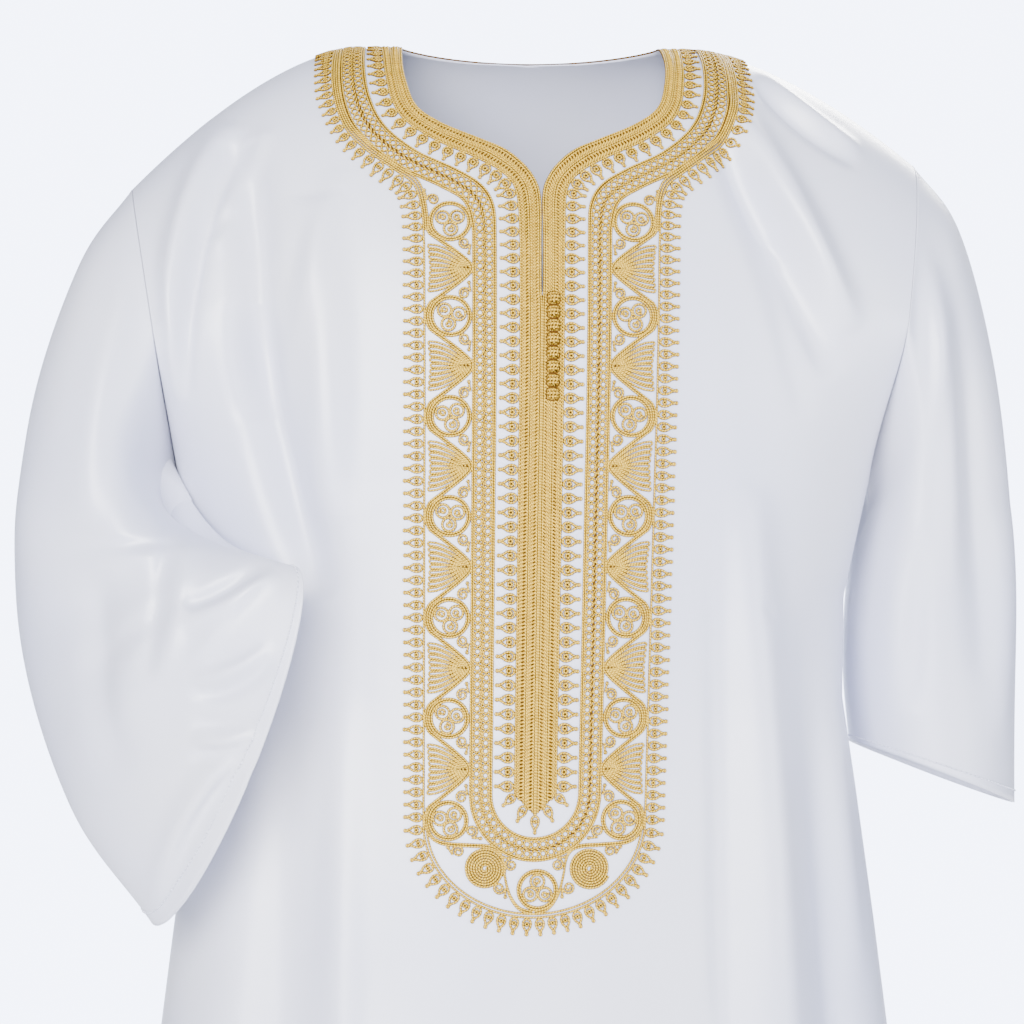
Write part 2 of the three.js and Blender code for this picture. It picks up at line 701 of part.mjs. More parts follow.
// A ring of cord on the front round a centre, with an open middle
function circleTrim(across, down, radius, hole) {
  const rows = [];
  for (let i = 0; i < ROUND_STEPS; i += 1) {
    const turn = (i / ROUND_STEPS) * 2 * Math.PI;
    rows.push([hole, radius].map((r) => [across + r * Math.cos(turn), down + r * Math.sin(turn)]));
  }
  return rows;
}

// A fan of loops: narrow at its apex on the inner side, spread and scalloped on the outer side
function fanRows(sign, down) {
  const rows = [];
  const steps = FAN_LOOPS * 2;
  for (let i = 0; i <= steps; i += 1) {
    const spread = (i / steps) * 2 - 1;
    const scallop = i % 2 === 1 ? 1 : FAN_VALLEY;
    const apex = [MOTIF_ACROSS - FAN_REACH, spread * FAN_APEX_HALF];
    const rim = [MOTIF_ACROSS + FAN_REACH * scallop - FAN_REACH * FAN_ROUNDING * spread * spread,
      spread * FAN_HALF_HEIGHT];
    rows.push([apex, rim].map(([across, off]) => [skewed(sign * across, down + off), down + off]));
  }
  return rows;
}

// A knot button: a small ball of cord that sits on the braid
function buttonMesh(index) {
  const down = BUTTON.firstDown + BUTTON.pitch * index;
  const lift = TRIM_GAP + BRAID_HEIGHT + BUTTON.lift;
  const { place } = panelPoint(FRONT, skewed(BUTTON.across, down), down, lift);
  const mesh = namedMesh(`knot_button_${index + 1}`, knotGeometry(), GOLD);
  mesh.position.copy(place);
  return mesh;
}
function knotGeometry() {
  return new THREE.IcosahedronGeometry(BUTTON.radius, 1);
}

function buildKaftan() {
  const kaftan = new THREE.Group();
  const add = (name, geometry, finish) => kaftan.add(namedMesh(name, geometry, finish));
  add('front_panel', panelWall(FRONT, FRONT_GRID), SATIN);
  add('back_panel', panelWall(BACK, BACK_GRID), SATIN);
  add('left_sleeve', sleeveWall(-1, LEFT_SLEEVE, LEFT_SLEEVE_FOLDS, LEFT_SLEEVE_GRID), SATIN);
  add('right_sleeve', sleeveWall(1, RIGHT_SLEEVE, RIGHT_SLEEVE_FOLDS, RIGHT_SLEEVE_GRID), SATIN);

  const addFront = (name, rows, height) => {
    add(name, raisedTrim(FRONT, offTheShoulder(rows), height), GOLD);
  };
  for (const [side, sign] of [['left', -1], ['right', 1]]) {
    addFront(`${side}_braid`, braidRows(sign), BRAID_HEIGHT);
    const inner = dropRows('braid', 'braidDrops', INNER_DROPS, sign);
    addFront(`${side}_braid_drops`, inner, BAND_HEIGHT);
    const outer = dropRows('cordOuter', 'tips', OUTER_DROPS, sign);
    addFront(`${side}_outer_drops`, outer, BAND_HEIGHT);
  }
  const midRows = wholeRoute('midInner', 'midOuter', MID_BAND_STEPS).map(halved);
  addFront('mid_band', midRows, BAND_HEIGHT);
  addFront('outer_cord', wholeRoute('cordInner', 'cordOuter', OUTER_CORD_STEPS), BAND_HEIGHT);
  const backBands = { braid: ['neck', 'braid'], mid_band: ['midInner', 'midOuter'],
    outer_cord: ['cordInner', 'tips'] };
  for (const [name, lines] of Object.entries(backBands)) {
    add(`back_${name}`, raisedTrim(BACK, backRows(...lines, BACK_BAND_STEPS), BAND_HEIGHT), GOLD);
  }

  for (const [side, sign] of [['left', -1], ['right', 1]]) {
    for (const [i, down] of CIRCLE_DOWN.entries()) {
      const across = skewed(sign * MOTIF_ACROSS, down);
      const scale = narrowing(down);
      const rows = circleTrim(across, down, CIRCLE_RADIUS * scale, CIRCLE_HOLE * scale);
      add(`${side}_circle_${i + 1}`, raisedTrim(FRONT, rows, MOTIF_HEIGHT, true), GOLD);
      if (i + 1 < CIRCLE_DOWN.length) {
        const rim = fanRows(sign, mix(down, CIRCLE_DOWN[i + 1], 0.5));
        add(`${side}_fan_${i + 1}`, raisedTrim(FRONT, rim, MOTIF_HEIGHT), GOLD);
      }
    }
    const across = skewed(sign * SPIRAL_ACROSS, SPIRAL_DOWN);
    const coil = circleTrim(across, SPIRAL_DOWN, SPIRAL_RADIUS, SPIRAL_EYE);
    add(`${side}_spiral`, raisedTrim(FRONT, coil, MOTIF_HEIGHT, true), GOLD);
  }
  const bottom = [middleAt(BOTTOM_CIRCLE_DOWN), BOTTOM_CIRCLE_DOWN];
  const bottomScale = narrowing(BOTTOM_CIRCLE_DOWN);
  const bottomRows = circleTrim(...bottom, CIRCLE_RADIUS * bottomScale, CIRCLE_HOLE * bottomScale);
  add('bottom_circle', raisedTrim(FRONT, bottomRows, MOTIF_HEIGHT, true), GOLD);
  for (let i = 0; i < BUTTON.count; i += 1) {
    kaftan.add(buttonMesh(i));
  }
  return kaftan;
}

const kaftan = buildKaftan();
export default kaftan;
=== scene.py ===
# A wide satin kaftan with corded embroidery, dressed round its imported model.
# Shapes are worked out in millimetres and become metres when a mesh is made.
import math

import bpy
import numpy as np
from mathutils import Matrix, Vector


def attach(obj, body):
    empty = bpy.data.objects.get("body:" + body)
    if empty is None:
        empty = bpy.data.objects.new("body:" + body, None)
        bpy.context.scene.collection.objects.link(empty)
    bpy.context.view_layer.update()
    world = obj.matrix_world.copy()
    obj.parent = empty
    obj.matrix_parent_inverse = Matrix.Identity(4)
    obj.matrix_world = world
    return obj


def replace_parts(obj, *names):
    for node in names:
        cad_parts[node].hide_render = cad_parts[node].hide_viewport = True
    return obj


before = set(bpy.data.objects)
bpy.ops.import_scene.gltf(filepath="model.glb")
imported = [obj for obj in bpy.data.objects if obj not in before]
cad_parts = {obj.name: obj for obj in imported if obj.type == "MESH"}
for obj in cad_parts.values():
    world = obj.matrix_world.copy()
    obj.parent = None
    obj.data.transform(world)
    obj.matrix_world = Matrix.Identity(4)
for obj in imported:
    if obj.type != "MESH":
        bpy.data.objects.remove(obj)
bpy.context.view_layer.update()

MM = 0.001

# The body, with the same sizes as the solids
SHOULDER_TIP = 272
CHEST_HALF = 240
CHEST_DROP = 300
HEM_DROP = 1400
SHOULDER_FLAT = 118
SHOULDER_FALL_LEFT = 0.0345
SHOULDER_FALL_RIGHT = 0.0275
SHOULDER_POWER = 1.58
SECTION_POWER = 2.4
ARMHOLE_OPEN_TO = 60
ROLL_STEPS = 400
SEAM_HALF = 0.12
ARMHOLE_GAP = 0.3
CLOTH = 0.9
FRONT = dict(side=-1, depth=142, armhole=100, column="front", stiff_half=104, stiff_end=668)
BACK = dict(side=1, depth=122, armhole=88, column="back", stiff_half=160, stiff_end=96)

# Sections below the chest
SECTIONS = np.array(
    [
        # drop, half, front, back
        (300, 240, 142, 122),
        (380, 222, 147, 124),
        (450, 221, 150, 128),
        (510, 230, 153, 134),
        (604, 243, 157, 141),
        (800, 268, 165, 158),
        (1400, 352, 196, 196),
    ]
)
SECTION_COLUMNS = dict(half=1, front=2, back=3)

# Grids: first, last and spacing of the rows in each stretch of a panel, the rows of the last
# stretch to the hem, the columns of half a panel; then the rings and columns of each sleeve
FRONT_GRID = dict(spans=((0, 240, 3), (240, 720, 4)), last_rows=66, columns=72)
BACK_GRID = dict(spans=((0, 60, 2), (60, 700, 7)), last_rows=60, columns=56)
LEFT_SLEEVE_GRID = (140, 152)
RIGHT_SLEEVE_GRID = (120, 150)
COLUMN_SPACING = 0.92

# Stitches: size and rise of each, their height over the hem and share of the sleeve's length, the
# steps and reach of the hem's line
STITCH = dict(pitch=3.7, length=2.4, radius=0.62, rise=(0.1, 0.7, 0.1))
HEM_STITCHES = 14
CUFF_STITCHES = 0.98
HEM_STEPS = 240
HEM_REACH = 0.99

# The neck edge as half widths (across) at each length down from the shoulder line, then the slit
NECK_EDGE = [
    (89, 0), (90.5, 45), (88.5, 70), (82, 94), (65, 109), (41, 121), (24, 129.5), (13, 139.5),
    (5.5, 150), (0.9, 165), (0.9, 200),
]
SLIT_END = 232
BACK_NECK_DROP = 28

# The embroidery's lines on one side: across and down through the yoke, then straight to "end",
# then for some a quarter round the bottom that reaches "round" further down
PANEL_TOP = 200
PLACKET_END = 580
BRAID_HALF = 15
MID_TURN = 566
OUTER_TURN = 586
LINES = {
    "neck": dict(end=PLACKET_END, round=0, back=BACK_NECK_DROP, rows=NECK_EDGE),
    "braid": dict(end=PLACKET_END, round=0, back=43, rows=[
        (104, 0), (103, 50), (101, 75), (98, 91), (90, 107), (70, 123), (45, 136), (26, 148),
        (17, 163), (15, PANEL_TOP)]),
    "braid_tips": dict(end=PLACKET_END, round=0, back=53, rows=[
        (112, 0), (111, 50), (109, 78), (104, 97), (94, 115), (74, 131), (50, 144), (34, 155),
        (27, 170), (26, PANEL_TOP)]),
    "mid_inner": dict(end=MID_TURN, round=28, back=56, rows=[
        (114, 0), (116, 50), (113, 85), (103, 111), (82.5, 131), (56.5, 145), (39.5, 157),
        (31.5, 173), (30.5, PANEL_TOP)]),
    "mid_outer": dict(end=MID_TURN, round=44, back=69, rows=[
        (130.6, 0), (134, 65), (129, 103), (115.5, 126.5), (95.5, 144.5), (69, 158.5),
        (52.6, 169.5), (47.3, 187), (46.8, PANEL_TOP)]),
    "cord_inner": dict(end=OUTER_TURN, round=57.5, back=74, rows=[
        (132, 0), (135.5, 65), (130, 103), (117, 125), (95, 144), (82, 155), (77, 175),
        (76, PANEL_TOP)]),
    "cord_outer": dict(end=OUTER_TURN, round=61, back=77, rows=[
        (135.5, 0), (139, 65), (133, 105), (120, 128), (97.5, 147), (85.5, 158), (80.5, 176),
        (79.5, PANEL_TOP)]),
    "tips": dict(end=OUTER_TURN, round=73, back=90, rows=[
        (149, 0), (151, 65), (146.5, 95), (135.5, 125), (118, 148), (100, 168), (94.5, 188),
        (93.5, PANEL_TOP)]),
}
SPLINE_STEPS = 24
STAGE_STEPS = (90, 60, 40)
BACK_STEPS = 90

# The worn front hangs a little askew: its middle line drifts and the panel narrows downwards
MIDDLE_AT_TOP = 3.5
MIDDLE_DRIFT = 0.0195
PANEL_NARROWING = 0.00019
SKEW_FROM = 184

# Motifs between the mid band and the outer cord
MOTIF_ACROSS = 61.5
CIRCLE_DOWN = [184, 250, 317, 383, 450, 516, 583]
CIRCLE_TURNS = {
    "left": [272, 255, 280, 264, 276, 258, 285],
    "right": [262, 284, 254, 274, 266, 282, 250],
}
CIRCLE_RADIUS = 13.7
BOTTOM_SHIFT = 2.3
BOTTOM_CIRCLE = dict(down=628.5, middle_down=627, radius_share=0.95, first=90)
SPIRAL = dict(
    across=37.6, down=614.5, outer=13.4, inner=0.9, turns=7.2, start=0.4, steps=26, cord=0.84
)
# The rings of a circle, each with its distance inwards, steps and cord, and the coils inside it
CIRCLE_RINGS = ((0, 40, 0.84), (1.65, 36, 0.8))
COIL = dict(
    out=5.6, ring=4.45, ring_steps=18, ring_cord=0.92,
    outer=2.5, inner=0.7, turns=1.2, cord=0.86, lift=1.0,
)
# A fan's fingers: from a spine at "start" to a curved front at "tip", with its ground stitches
# painted as dark shade
FAN = dict(
    loops=9, bow=1.8, half=1.15, cord=0.74, lift=0.78,
    start=48.4, spine=9, start_spread=0.7, tip=75.2, tip_round=1.4, tip_spread=15.2,
)
FAN_GROUND = ((48.6, 0.9), (61, 4.6))
FINGER_WIDTHS = (0.25, 0.5, 0.7, 0.85, 0.95, 1, 1)
FINGER_END = (60, 30, 0, -30, -60)
# A curl of cord with the knot at its tail, and where it stands beside a circle
CURL = dict(radius=4.15, inner=0.9, turns=1.6, lead=0.9, cord=0.86, lift=0.9, tail_cord=0.8)
CURL_KNOT = dict(ring=0.6, steps=6, cord=0.85, lift=0.95)
CORNER_CURL = dict(across=52.2, down=15.4, tail_across=49.2, tail_down=22.8)

# Knot buttons: balls of crossing cords in a thin ring with rounded corners, painted as dark shade
# round each ball
BUTTON = dict(
    count=8, first_down=238, pitch=9.2, across=7.5, lift=4.2,
    ball=3.15, cord=0.92, offsets=(-1.9, 0, 1.9), depth_share=0.85, crossing=0.3, steps=18,
    shade_ring=4.3, shade_ring_cord=0.4, shade_ring_steps=24, sunk=2.3,
)

# Cords: length of one twist, the share of its radius at a cut end, the sides of the thick and the
# thin ones, the ground under them, painted as dark shade with a cord underside's UV, and the radii
# of those that run along the bands
CORD_TWIST = 1.9
CORD_TIP_SHARE = 0.15
CORD_SIDES = 6
THIN_SIDES = 5
CORD_SHADED_UNDERSIDE = 0.75
BACKING_TOP = 0.45
BACKING_FOOT = 0.12
SHOULDER_CLEAR = 0.5
BRAID_CORD = 0.74
BAND_CORD = 0.72
OUTER_CORD = 0.78
WAVE_CORD = 0.74

# A drop: half length of its head as a share of its own, its foot in cord radii, the egg shape,
# the angles between which the head's cord runs, the neck's half width and distance from the tip,
# then the eye, in shares of the room in the head, with a ground patch painted as dark shade, and
# the knot at the tip
DROP = dict(
    head_long=0.31, foot=0.4, egg=0.2, first=26, last=334, steps=14, neck=0.35, neck_end=2.9
)
DROP_EYE = dict(place=0.9, ring=0.64, steps=9, cord=0.41, lift=1.05, ground=0.8)
DROP_KNOT = dict(place=1.5, ring=0.74, steps=7, cord=0.78, lift=0.9)
INNER_DROPS = dict(pitch=9.4, most=13.2, drop=dict(head=3.1, radius=0.92))
OUTER_DROPS = dict(pitch=8.15, most=13.6, drop=dict(head=2.6, radius=0.86))
BACK_DROPS = dict(INNER_DROPS, most=12.4)
# Where the drops' roots and limits run between the lines, and the steps of lines that are evened
INNER_ROOT = 0.06
INNER_LIMIT = -0.05
OUTER_ROOT = 0.03
DROP_LINE_STEPS = 600
BRAID_STEPS = 150
PLACKET_DROP = dict(head=2.45, radius=0.85)

# Shares of the bands' widths where their cords, plaits, rings and grounds run; the grounds are
# painted as dark shade
BRAID_CORDS = (0.03, 0.13, 0.47, 0.57, 0.97)
BRAID_GROUND = (-0.03, 0.97)
BRAID_PLAITS = ((0.17, 0.30, 1), (0.30, 0.43, -1), (0.62, 0.765, 1), (0.765, 0.91, -1))
BAND_CORDS = (0.04, 0.13, 0.88, 0.97)
BAND_GROUNDS = ((0.02, 0.16), (0.44, 0.56), (0.85, 0.99))
BAND_RINGS = (0.31, 0.695)
RING = dict(pitch=5.35, radius=2.1, steps=10, cord=0.82, lift=0.85)
CHAIN = (0.455, 0.545)
CHAIN_STITCH = dict(pitch=3.9, radius=0.7)
PLAIT_STITCH = dict(pitch=2.4, radius=0.92)
PLAIT_RISE = (0.6, 1.15, 0.6)
# The outer cord runs the whole way, with strands beside it: share, first and last stage, radius
OUTER_LINE = 0.85
OUTER_STRANDS = [
    (0.42, 0, 0.957, 0.78), (0.0, 0, 0.957, 0.78), (-0.42, 0, 0.75, 0.78), (0.2, 1.97, 3, 0.74),
]
BACK_STRANDS = (0.85, 0.42, 0.0, -0.42)

# The strands beside the circles and fans, and their way round the spirals to the middle
WAVE_RADIUS = 15.2
WAVE_ARC = 8.5
WAVE_INNER = 46.5
WAVE_BEND = 4.3
WAVE_APART = 1.5
WAVE_FROM = 2
WAVE_TO = 9
WAVE_STEP = 1.5
WAVE_TAIL = [
    (71, 594.8), (63.2, 597.4), (47.6, 598.4), (34.6, 599), (26.7, 601.4), (22.9, 607.4),
    (21.4, 616.2), (18.9, 627), (15.2, 634.6), (9.6, 640.2), (0.5, 642.6),
]
# Curls that stand elsewhere than beside the circles: centre, knot of its tail, way round
PANEL_CURLS = [
    ((72.6, 168.5), (78.4, 161.5), 1), ((45, 590), (38.6, 594.6), -1),
    ((54.4, 603.2), (61.6, 600.6), 1), ((16.6, 612), (22.2, 607), -1),
    ((25, 627), (20.4, 633), 1),
]

# The placket's pointed end and its five drops, as base and tip places
PLACKET_CLOSING = 0.85
CLOSING_FROM = -2
CLOSING_TO = 10
PLACKET_SLOPE = 0.93
PLACKET_DROPS = [
    ((-14.6, 566.5), (-23.8, 574)), ((-7.4, 573.6), (-13.2, 584.6)), ((0, 580), (0, 592.5)),
    ((7.4, 573.6), (13.2, 584.6)), ((14.6, 566.5), (23.8, 574)),
]

# How folds are drawn: steps along each, its reach in widths, the power of its ends and of the
# flutes' growth; then where they fade: beside and below the embroidery, from a share of the half
# width, down from the shoulder line, along a sleeve and round it. The last is the power by which a
# sleeve's shape takes over from its armhole's
FOLD_STEPS = 12
FOLD_REACH = 3.2
FOLD_ENDS = 0.7
FLUTE_GROWTH = 1.3
STIFF_FADE = 32
STIFF_FADE_BELOW = 150
SIDE_FADE_FROM = 0.94
SHOULDER_FADE = 18
SLEEVE_FOLD_FADE = 0.15
SLEEVE_CREASE_FADE = 0.1
SLEEVE_CREASE_FRONT = 0.5
ARMHOLE_BLEND = 3

# Folds in the front view: x and z of start, bend and end, widths on the left and right, height
FOLD_COLUMNS = "x0 z0 x1 z1 x2 z2 left right height".split()
FRONT_FOLDS = [
    (-204, -56, -250, -140, -243, -250, 12, 8, 12),
    (-196, -64, -238, -140, -233, -246, 8, 4.5, -11),
    (-197, -70, -184, -170, -190, -262, 12, 13, -20),
    (-192, -180, -186, -280, -142, -380, 12, 14, -22),
    (-150, -110, -140, -230, -140, -330, 14, 18, 11),
    (133, -40, 178, -112, 216, -200, 13, 11, 13),
    (118, -50, 160, -130, 200, -230, 11, 12, -14),
    (104, -330, 108, -500, 124, -900, 16, 18, -13),
    (140, -300, 150, -440, 176, -900, 18, 16, 13),
    (186, -380, 200, -560, 234, -1000, 16, 18, -13),
    (-130, -440, -124, -600, -136, -950, 18, 22, 7),
    (-168, -420, -174, -600, -190, -950, 16, 18, -10),
]
BACK_FOLDS = [
    (-150, -50, -196, -150, -214, -280, 14, 12, 12),
    (-132, -70, -170, -170, -190, -320, 12, 13, -12),
    (150, -50, 194, -140, 216, -270, 12, 14, 11),
    (128, -80, 168, -180, 186, -330, 13, 12, -11),
    (-96, -260, -88, -460, -120, -1000, 18, 17, -15),
    (-52, -330, -50, -560, -64, -1150, 20, 18, 11),
    (70, -300, 84, -520, 92, -1060, 17, 20, -14),
    (118, -360, 130, -600, 156, -1120, 16, 18, 12),
    (-160, -380, -166, -600, -206, -1120, 16, 17, 12),
]
# Finer creases that only the cloth shown has
FRONT_CREASES = [
    (-203, -118, -211, -126, -216, -138, 5, 5, -2.6),
    (-176, -60, -200, -96, -214, -150, 6, 5, 3),
    (-128, -90, -150, -140, -168, -230, 9, 8, 3),
    (-150, -120, -166, -170, -174, -230, 7, 8, -3),
    (160, -16, 186, -50, 230, -72, 5, 5, 6),
    (155, -24, 182, -60, 226, -84, 5, 5, -6),
    (150, -90, 180, -130, 206, -180, 7, 6, 3.5),
    (128, -78, 156, -150, 182, -260, 9, 8, -4),
    (156, -133, 166, -141, 177, -156, 4, 4, -2.6),
    (104, -140, 120, -240, 126, -330, 18, 16, 2.2),
    (148, -382, 150, -388, 156, -395, 4, 4, -2),
    (206, -420, 212, -520, 226, -640, 8, 7, 5),
    (-100, -300, -104, -420, -104, -600, 16, 14, -2),
    (-140, -430, -150, -560, -178, -800, 18, 14, -4),
    (60, -700, 66, -900, 80, -1200, 18, 18, 4),
    (-40, -720, -46, -900, -60, -1250, 20, 18, -4),
]
BACK_CREASES = [
    (-60, -110, -110, -170, -150, -260, 14, 12, 2.4),
    (60, -110, 112, -180, 150, -280, 12, 14, 2.2),
    (-20, -300, -24, -480, -10, -760, 18, 20, 3),
    (-160, -360, -168, -520, -190, -800, 16, 14, 4),
    (150, -380, 160, -560, 184, -820, 14, 16, -4),
]
FLUTES_FROM = 480
FLUTE_COLUMNS = "share width height".split()
FRONT_FLUTES = [
    (-0.84, 0.07, 20), (-0.60, 0.065, -20), (-0.38, 0.085, 20), (-0.14, 0.065, -18),
    (0.08, 0.08, 16), (0.32, 0.075, -21), (0.56, 0.07, 23), (0.81, 0.075, -18),
]
BACK_FLUTES = [
    (-0.80, 0.075, 20), (-0.52, 0.08, -21), (-0.24, 0.075, 22), (0.03, 0.085, -18),
    (0.30, 0.075, 19), (0.55, 0.07, -22), (0.80, 0.08, 20),
]

# Sleeve rings: outer fold line, underarm line, half thickness to the front and its share behind
RIGHT_RINGS = [
    ((272, 0, -79), (240, 0, -300), (0, -92, 0), 0.9),
    ((302, 4, -120), (243, 6, -322), (6, -90, -6), 0.95),
    ((326, 9, -210), (235, 12, -350), (6, -84, -8), 1),
    ((340, 15, -320), (229, 16, -396), (2, -80, -6), 1),
    ((346, 22, -425), (229, 22, -440), (0, -78, -2), 1),
    ((349, 28, -528), (234, 27, -484), (0, -80, 2), 1),
]
LEFT_RINGS = [
    ((-272, 0, -98), (-240, 0, -300), (0, -92, 0), 0.9),
    ((-306, -4, -150), (-248, -34, -320), (-14, -86, -8), 0.7),
    ((-334, -4, -255), (-228, -86, -336), (-30, -68, -12), 0.55),
    ((-344, -10, -400), (-204, -132, -346), (-26, -50, -6), 0.7),
    ((-312, -54, -520), (-182, -160, -352), (-8, -50, -8), 0.85),
    ((-256, -104, -596), (-160, -180, -358), (18, -44, -14), 0.9),
]
# Sleeve folds: degrees round from the outer line by way of the front, share along, half reaches
SLEEVE_FOLD_COLUMNS = "round along half_round half_along slant height".split()
RIGHT_SLEEVE_FOLDS = [
    (70, 0.45, 16, 0.32, 0, -8), (120, 0.55, 15, 0.34, 0, 6), (250, 0.5, 18, 0.36, 0, -8),
    (25, 0.6, 16, 0.3, 0, 5), (95, 0.2, 12, 0.12, 60, 3), (150, 0.3, 12, 0.1, -50, -3),
]
LEFT_SLEEVE_FOLDS = [
    (60, 0.5, 22, 0.07, 0, 6), (95, 0.62, 34, 0.05, 0, -7), (80, 0.76, 30, 0.05, 0, 6),
    (250, 0.5, 22, 0.3, 0, -6), (120, 0.52, 30, 0.022, 60, -3.5), (100, 0.7, 26, 0.02, 80, -3),
    (130, 0.82, 24, 0.025, 90, 3),
]

# Creases on the front of each sleeve, in the front view
LEFT_SLEEVE_CREASES = [
    (-236, -383, -203, -374, -172, -347, 5, 5, -9),
    (-236, -394, -203, -385, -174, -360, 6, 6, 8),
    (-228, -437, -205, -446, -176, -418, 4, 4, -8),
    (-228, -427, -205, -434, -178, -408, 5, 5, 7),
    (-228, -456, -206, -463, -184, -455, 4, 4, -7),
    (-229, -479, -210, -481, -191, -472, 4, 4, -7),
    (-228, -468, -208, -471, -188, -464, 5, 5, 7),
    (-241, -306, -246, -380, -259, -432, 6, 5, -6),
    (-231, -308, -236, -380, -248, -428, 7, 7, 5),
    (-196, -472, -240, -505, -255, -588, 8, 7, 7),
    (-189, -484, -232, -518, -246, -590, 7, 6, -6),
    (-268, -150, -292, -230, -300, -330, 12, 10, 5),
    (-290, -360, -296, -430, -276, -500, 12, 12, -7),
    (-254, -240, -262, -290, -262, -350, 9, 9, -5),
]
RIGHT_SLEEVE_CREASES = [
    (276, -150, 290, -250, 292, -380, 12, 10, 5),
    (300, -200, 318, -300, 316, -440, 11, 12, -6),
    (262, -330, 268, -400, 262, -460, 9, 9, -5),
    (330, -320, 334, -400, 330, -480, 9, 8, 5),
]

# Satin: its shader, the noise and stops of its tint, then its threads and unevenness
SATIN_SHADER = dict(
    Roughness=0.38, Sheen_Weight=0.12, Sheen_Roughness=0.35, Specular_IOR_Level=0.85
)
SATIN_TINT = dict(Scale=3.2, Detail=2.0)
SATIN_STOPS = ((0.32, (0.57, 0.60, 0.79)), (0.68, (0.70, 0.71, 0.80)))
THREAD_SCALE = (2600, 2600, 320)
THREAD_NOISE = dict(Scale=1.0, Detail=1.5)
THREAD_BUMP = dict(Strength=0.10, Distance=0.0003)
UNEVEN_NOISE = dict(Scale=22, Detail=3.0)
UNEVEN_BUMP = dict(Strength=0.22, Distance=0.003)

# Gold thread: its shader, the shares of height, strands and noise in its shade, and the colours
# of its painted shade between and under its cords and on their sides, and of its painted
# highlight on top
CORD_SHADER = dict(Roughness=0.5, Specular_IOR_Level=0.2, Specular_Tint=(1, 0.72, 0.3, 1))
CORD_SHADE = dict(height=0.66, strand=0.13, tone=0.3, least=0.06)
CORD_NOISE = dict(Scale=300.0, Detail=3.0)
CORD_SHADE_STOPS = (
    (0.38, (0.09, 0.04, 0.006)), (0.75, (0.45, 0.262, 0.02)), (0.97, (0.90, 0.60, 0.085)),
)
CORD_BUMP = dict(Strength=0.9, Distance=0.0004)

# The camera: level, a little to the left of the middle line
CAMERA_AIM = (-18.5, -142, -322)
CAMERA_DISTANCE = 2500
CAMERA_YAW = math.radians(-4)
FORWARD = (-math.sin(CAMERA_YAW), math.cos(CAMERA_YAW), 0)
VIEW_WIDTH = 675.8
SENSOR = 36
CAMERA_REACH = 60

# The studio in metres: light all round, a bright backdrop's half angles in degrees, the floor
# and the lights, each with its name, place, size, power and colour
WORLD_COLOUR = (0.70, 0.77, 1.0, 1)
WORLD_LIGHT = 0.62
BACKDROP_LIGHT = 9
BACKDROP_HALF = 12
BACKDROP_FADE = 20
FLOOR_SIZE = 8
FLOOR_GAP = 0.02
FLOOR_SHADER = dict(Base_Color=(0.9, 0.9, 0.91, 1), Roughness=0.8)
LIGHT_AIM = (0, 0, -0.65)
LIGHTS = [
    ("key", (-0.95, -3.2, 0.4), 2.1, 350, (1, 0.985, 0.96)),
    ("fill", (2.3, -2.2, 0.1), 2.0, 70, (0.9, 0.94, 1)),
    ("back", (1.3, 2.6, 1.7), 1.4, 260, (1, 0.99, 0.97)),
]


def smoothstep(value, low, high):
    share = np.clip((value - low) / (high - low), 0, 1)
    return share * share * (3 - 2 * share)


def lerp(low, high, share):
    return low + (high - low) * share


def unit(vectors):
    return vectors / np.maximum(np.linalg.norm(vectors, axis=-1, keepdims=True), 1e-9)


def section(drop, column):
    return np.interp(drop, SECTIONS[:, 0], SECTIONS[:, SECTION_COLUMNS[column]])


def shoulder_height(x):
    fall = np.where(x < 0, SHOULDER_FALL_LEFT, SHOULDER_FALL_RIGHT)
    return -fall * np.maximum(0, np.abs(x) - SHOULDER_FLAT) ** SHOULDER_POWER


def add_roll(panel):
    """The quarter ellipse from the shoulder line to the chest: turns and lengths down."""
    turns = np.linspace(0, math.pi / 2, ROLL_STEPS)
    across = np.diff(panel["depth"] * np.sin(turns))
    fall = np.diff(CHEST_DROP * (1 - np.cos(turns)))
    panel["turns"] = turns
    panel["lengths"] = np.concatenate([[0], np.cumsum(np.hypot(across, fall))])
    panel["roll_length"] = panel["lengths"][-1]


add_roll(FRONT)
add_roll(BACK)


def turn_at(panel, down):
    return np.interp(down, panel["lengths"], panel["turns"])


def half_width(panel, down):
    rolled = CHEST_HALF + (SHOULDER_TIP - CHEST_HALF) * np.cos(turn_at(panel, down))
    below = section(CHEST_DROP + down - panel["roll_length"], "half")
    return np.where(down < panel["roll_length"], rolled, below)


def plain_points(panel, across, down):
    """Points of a panel with no folds: across is x, down the length from the shoulder line."""
    share = np.clip(across / half_width(panel, down), -1, 1)
    closed = (1 - np.abs(share) ** SECTION_POWER) ** (1 / SECTION_POWER)
    drop = CHEST_DROP + down - panel["roll_length"]
    turn = turn_at(panel, down)
    opened = 1 - (1 - panel["armhole"] / panel["depth"]) * share * share
    closing = smoothstep(turn, math.radians(ARMHOLE_OPEN_TO), math.pi / 2)
    profile = lerp(opened, closed, closing)
    top = shoulder_height(SHOULDER_TIP * share)
    upper_depth = panel["depth"] * np.sin(turn) * profile
    lower_depth = section(drop, panel["column"]) * closed
    below = down >= panel["roll_length"]
    y = panel["side"] * (np.where(below, lower_depth, upper_depth) + SEAM_HALF)
    z = np.where(below, -drop, top - (top + CHEST_DROP) * (1 - np.cos(turn)))
    return np.stack([np.broadcast_to(across, y.shape), y, z], axis=-1)


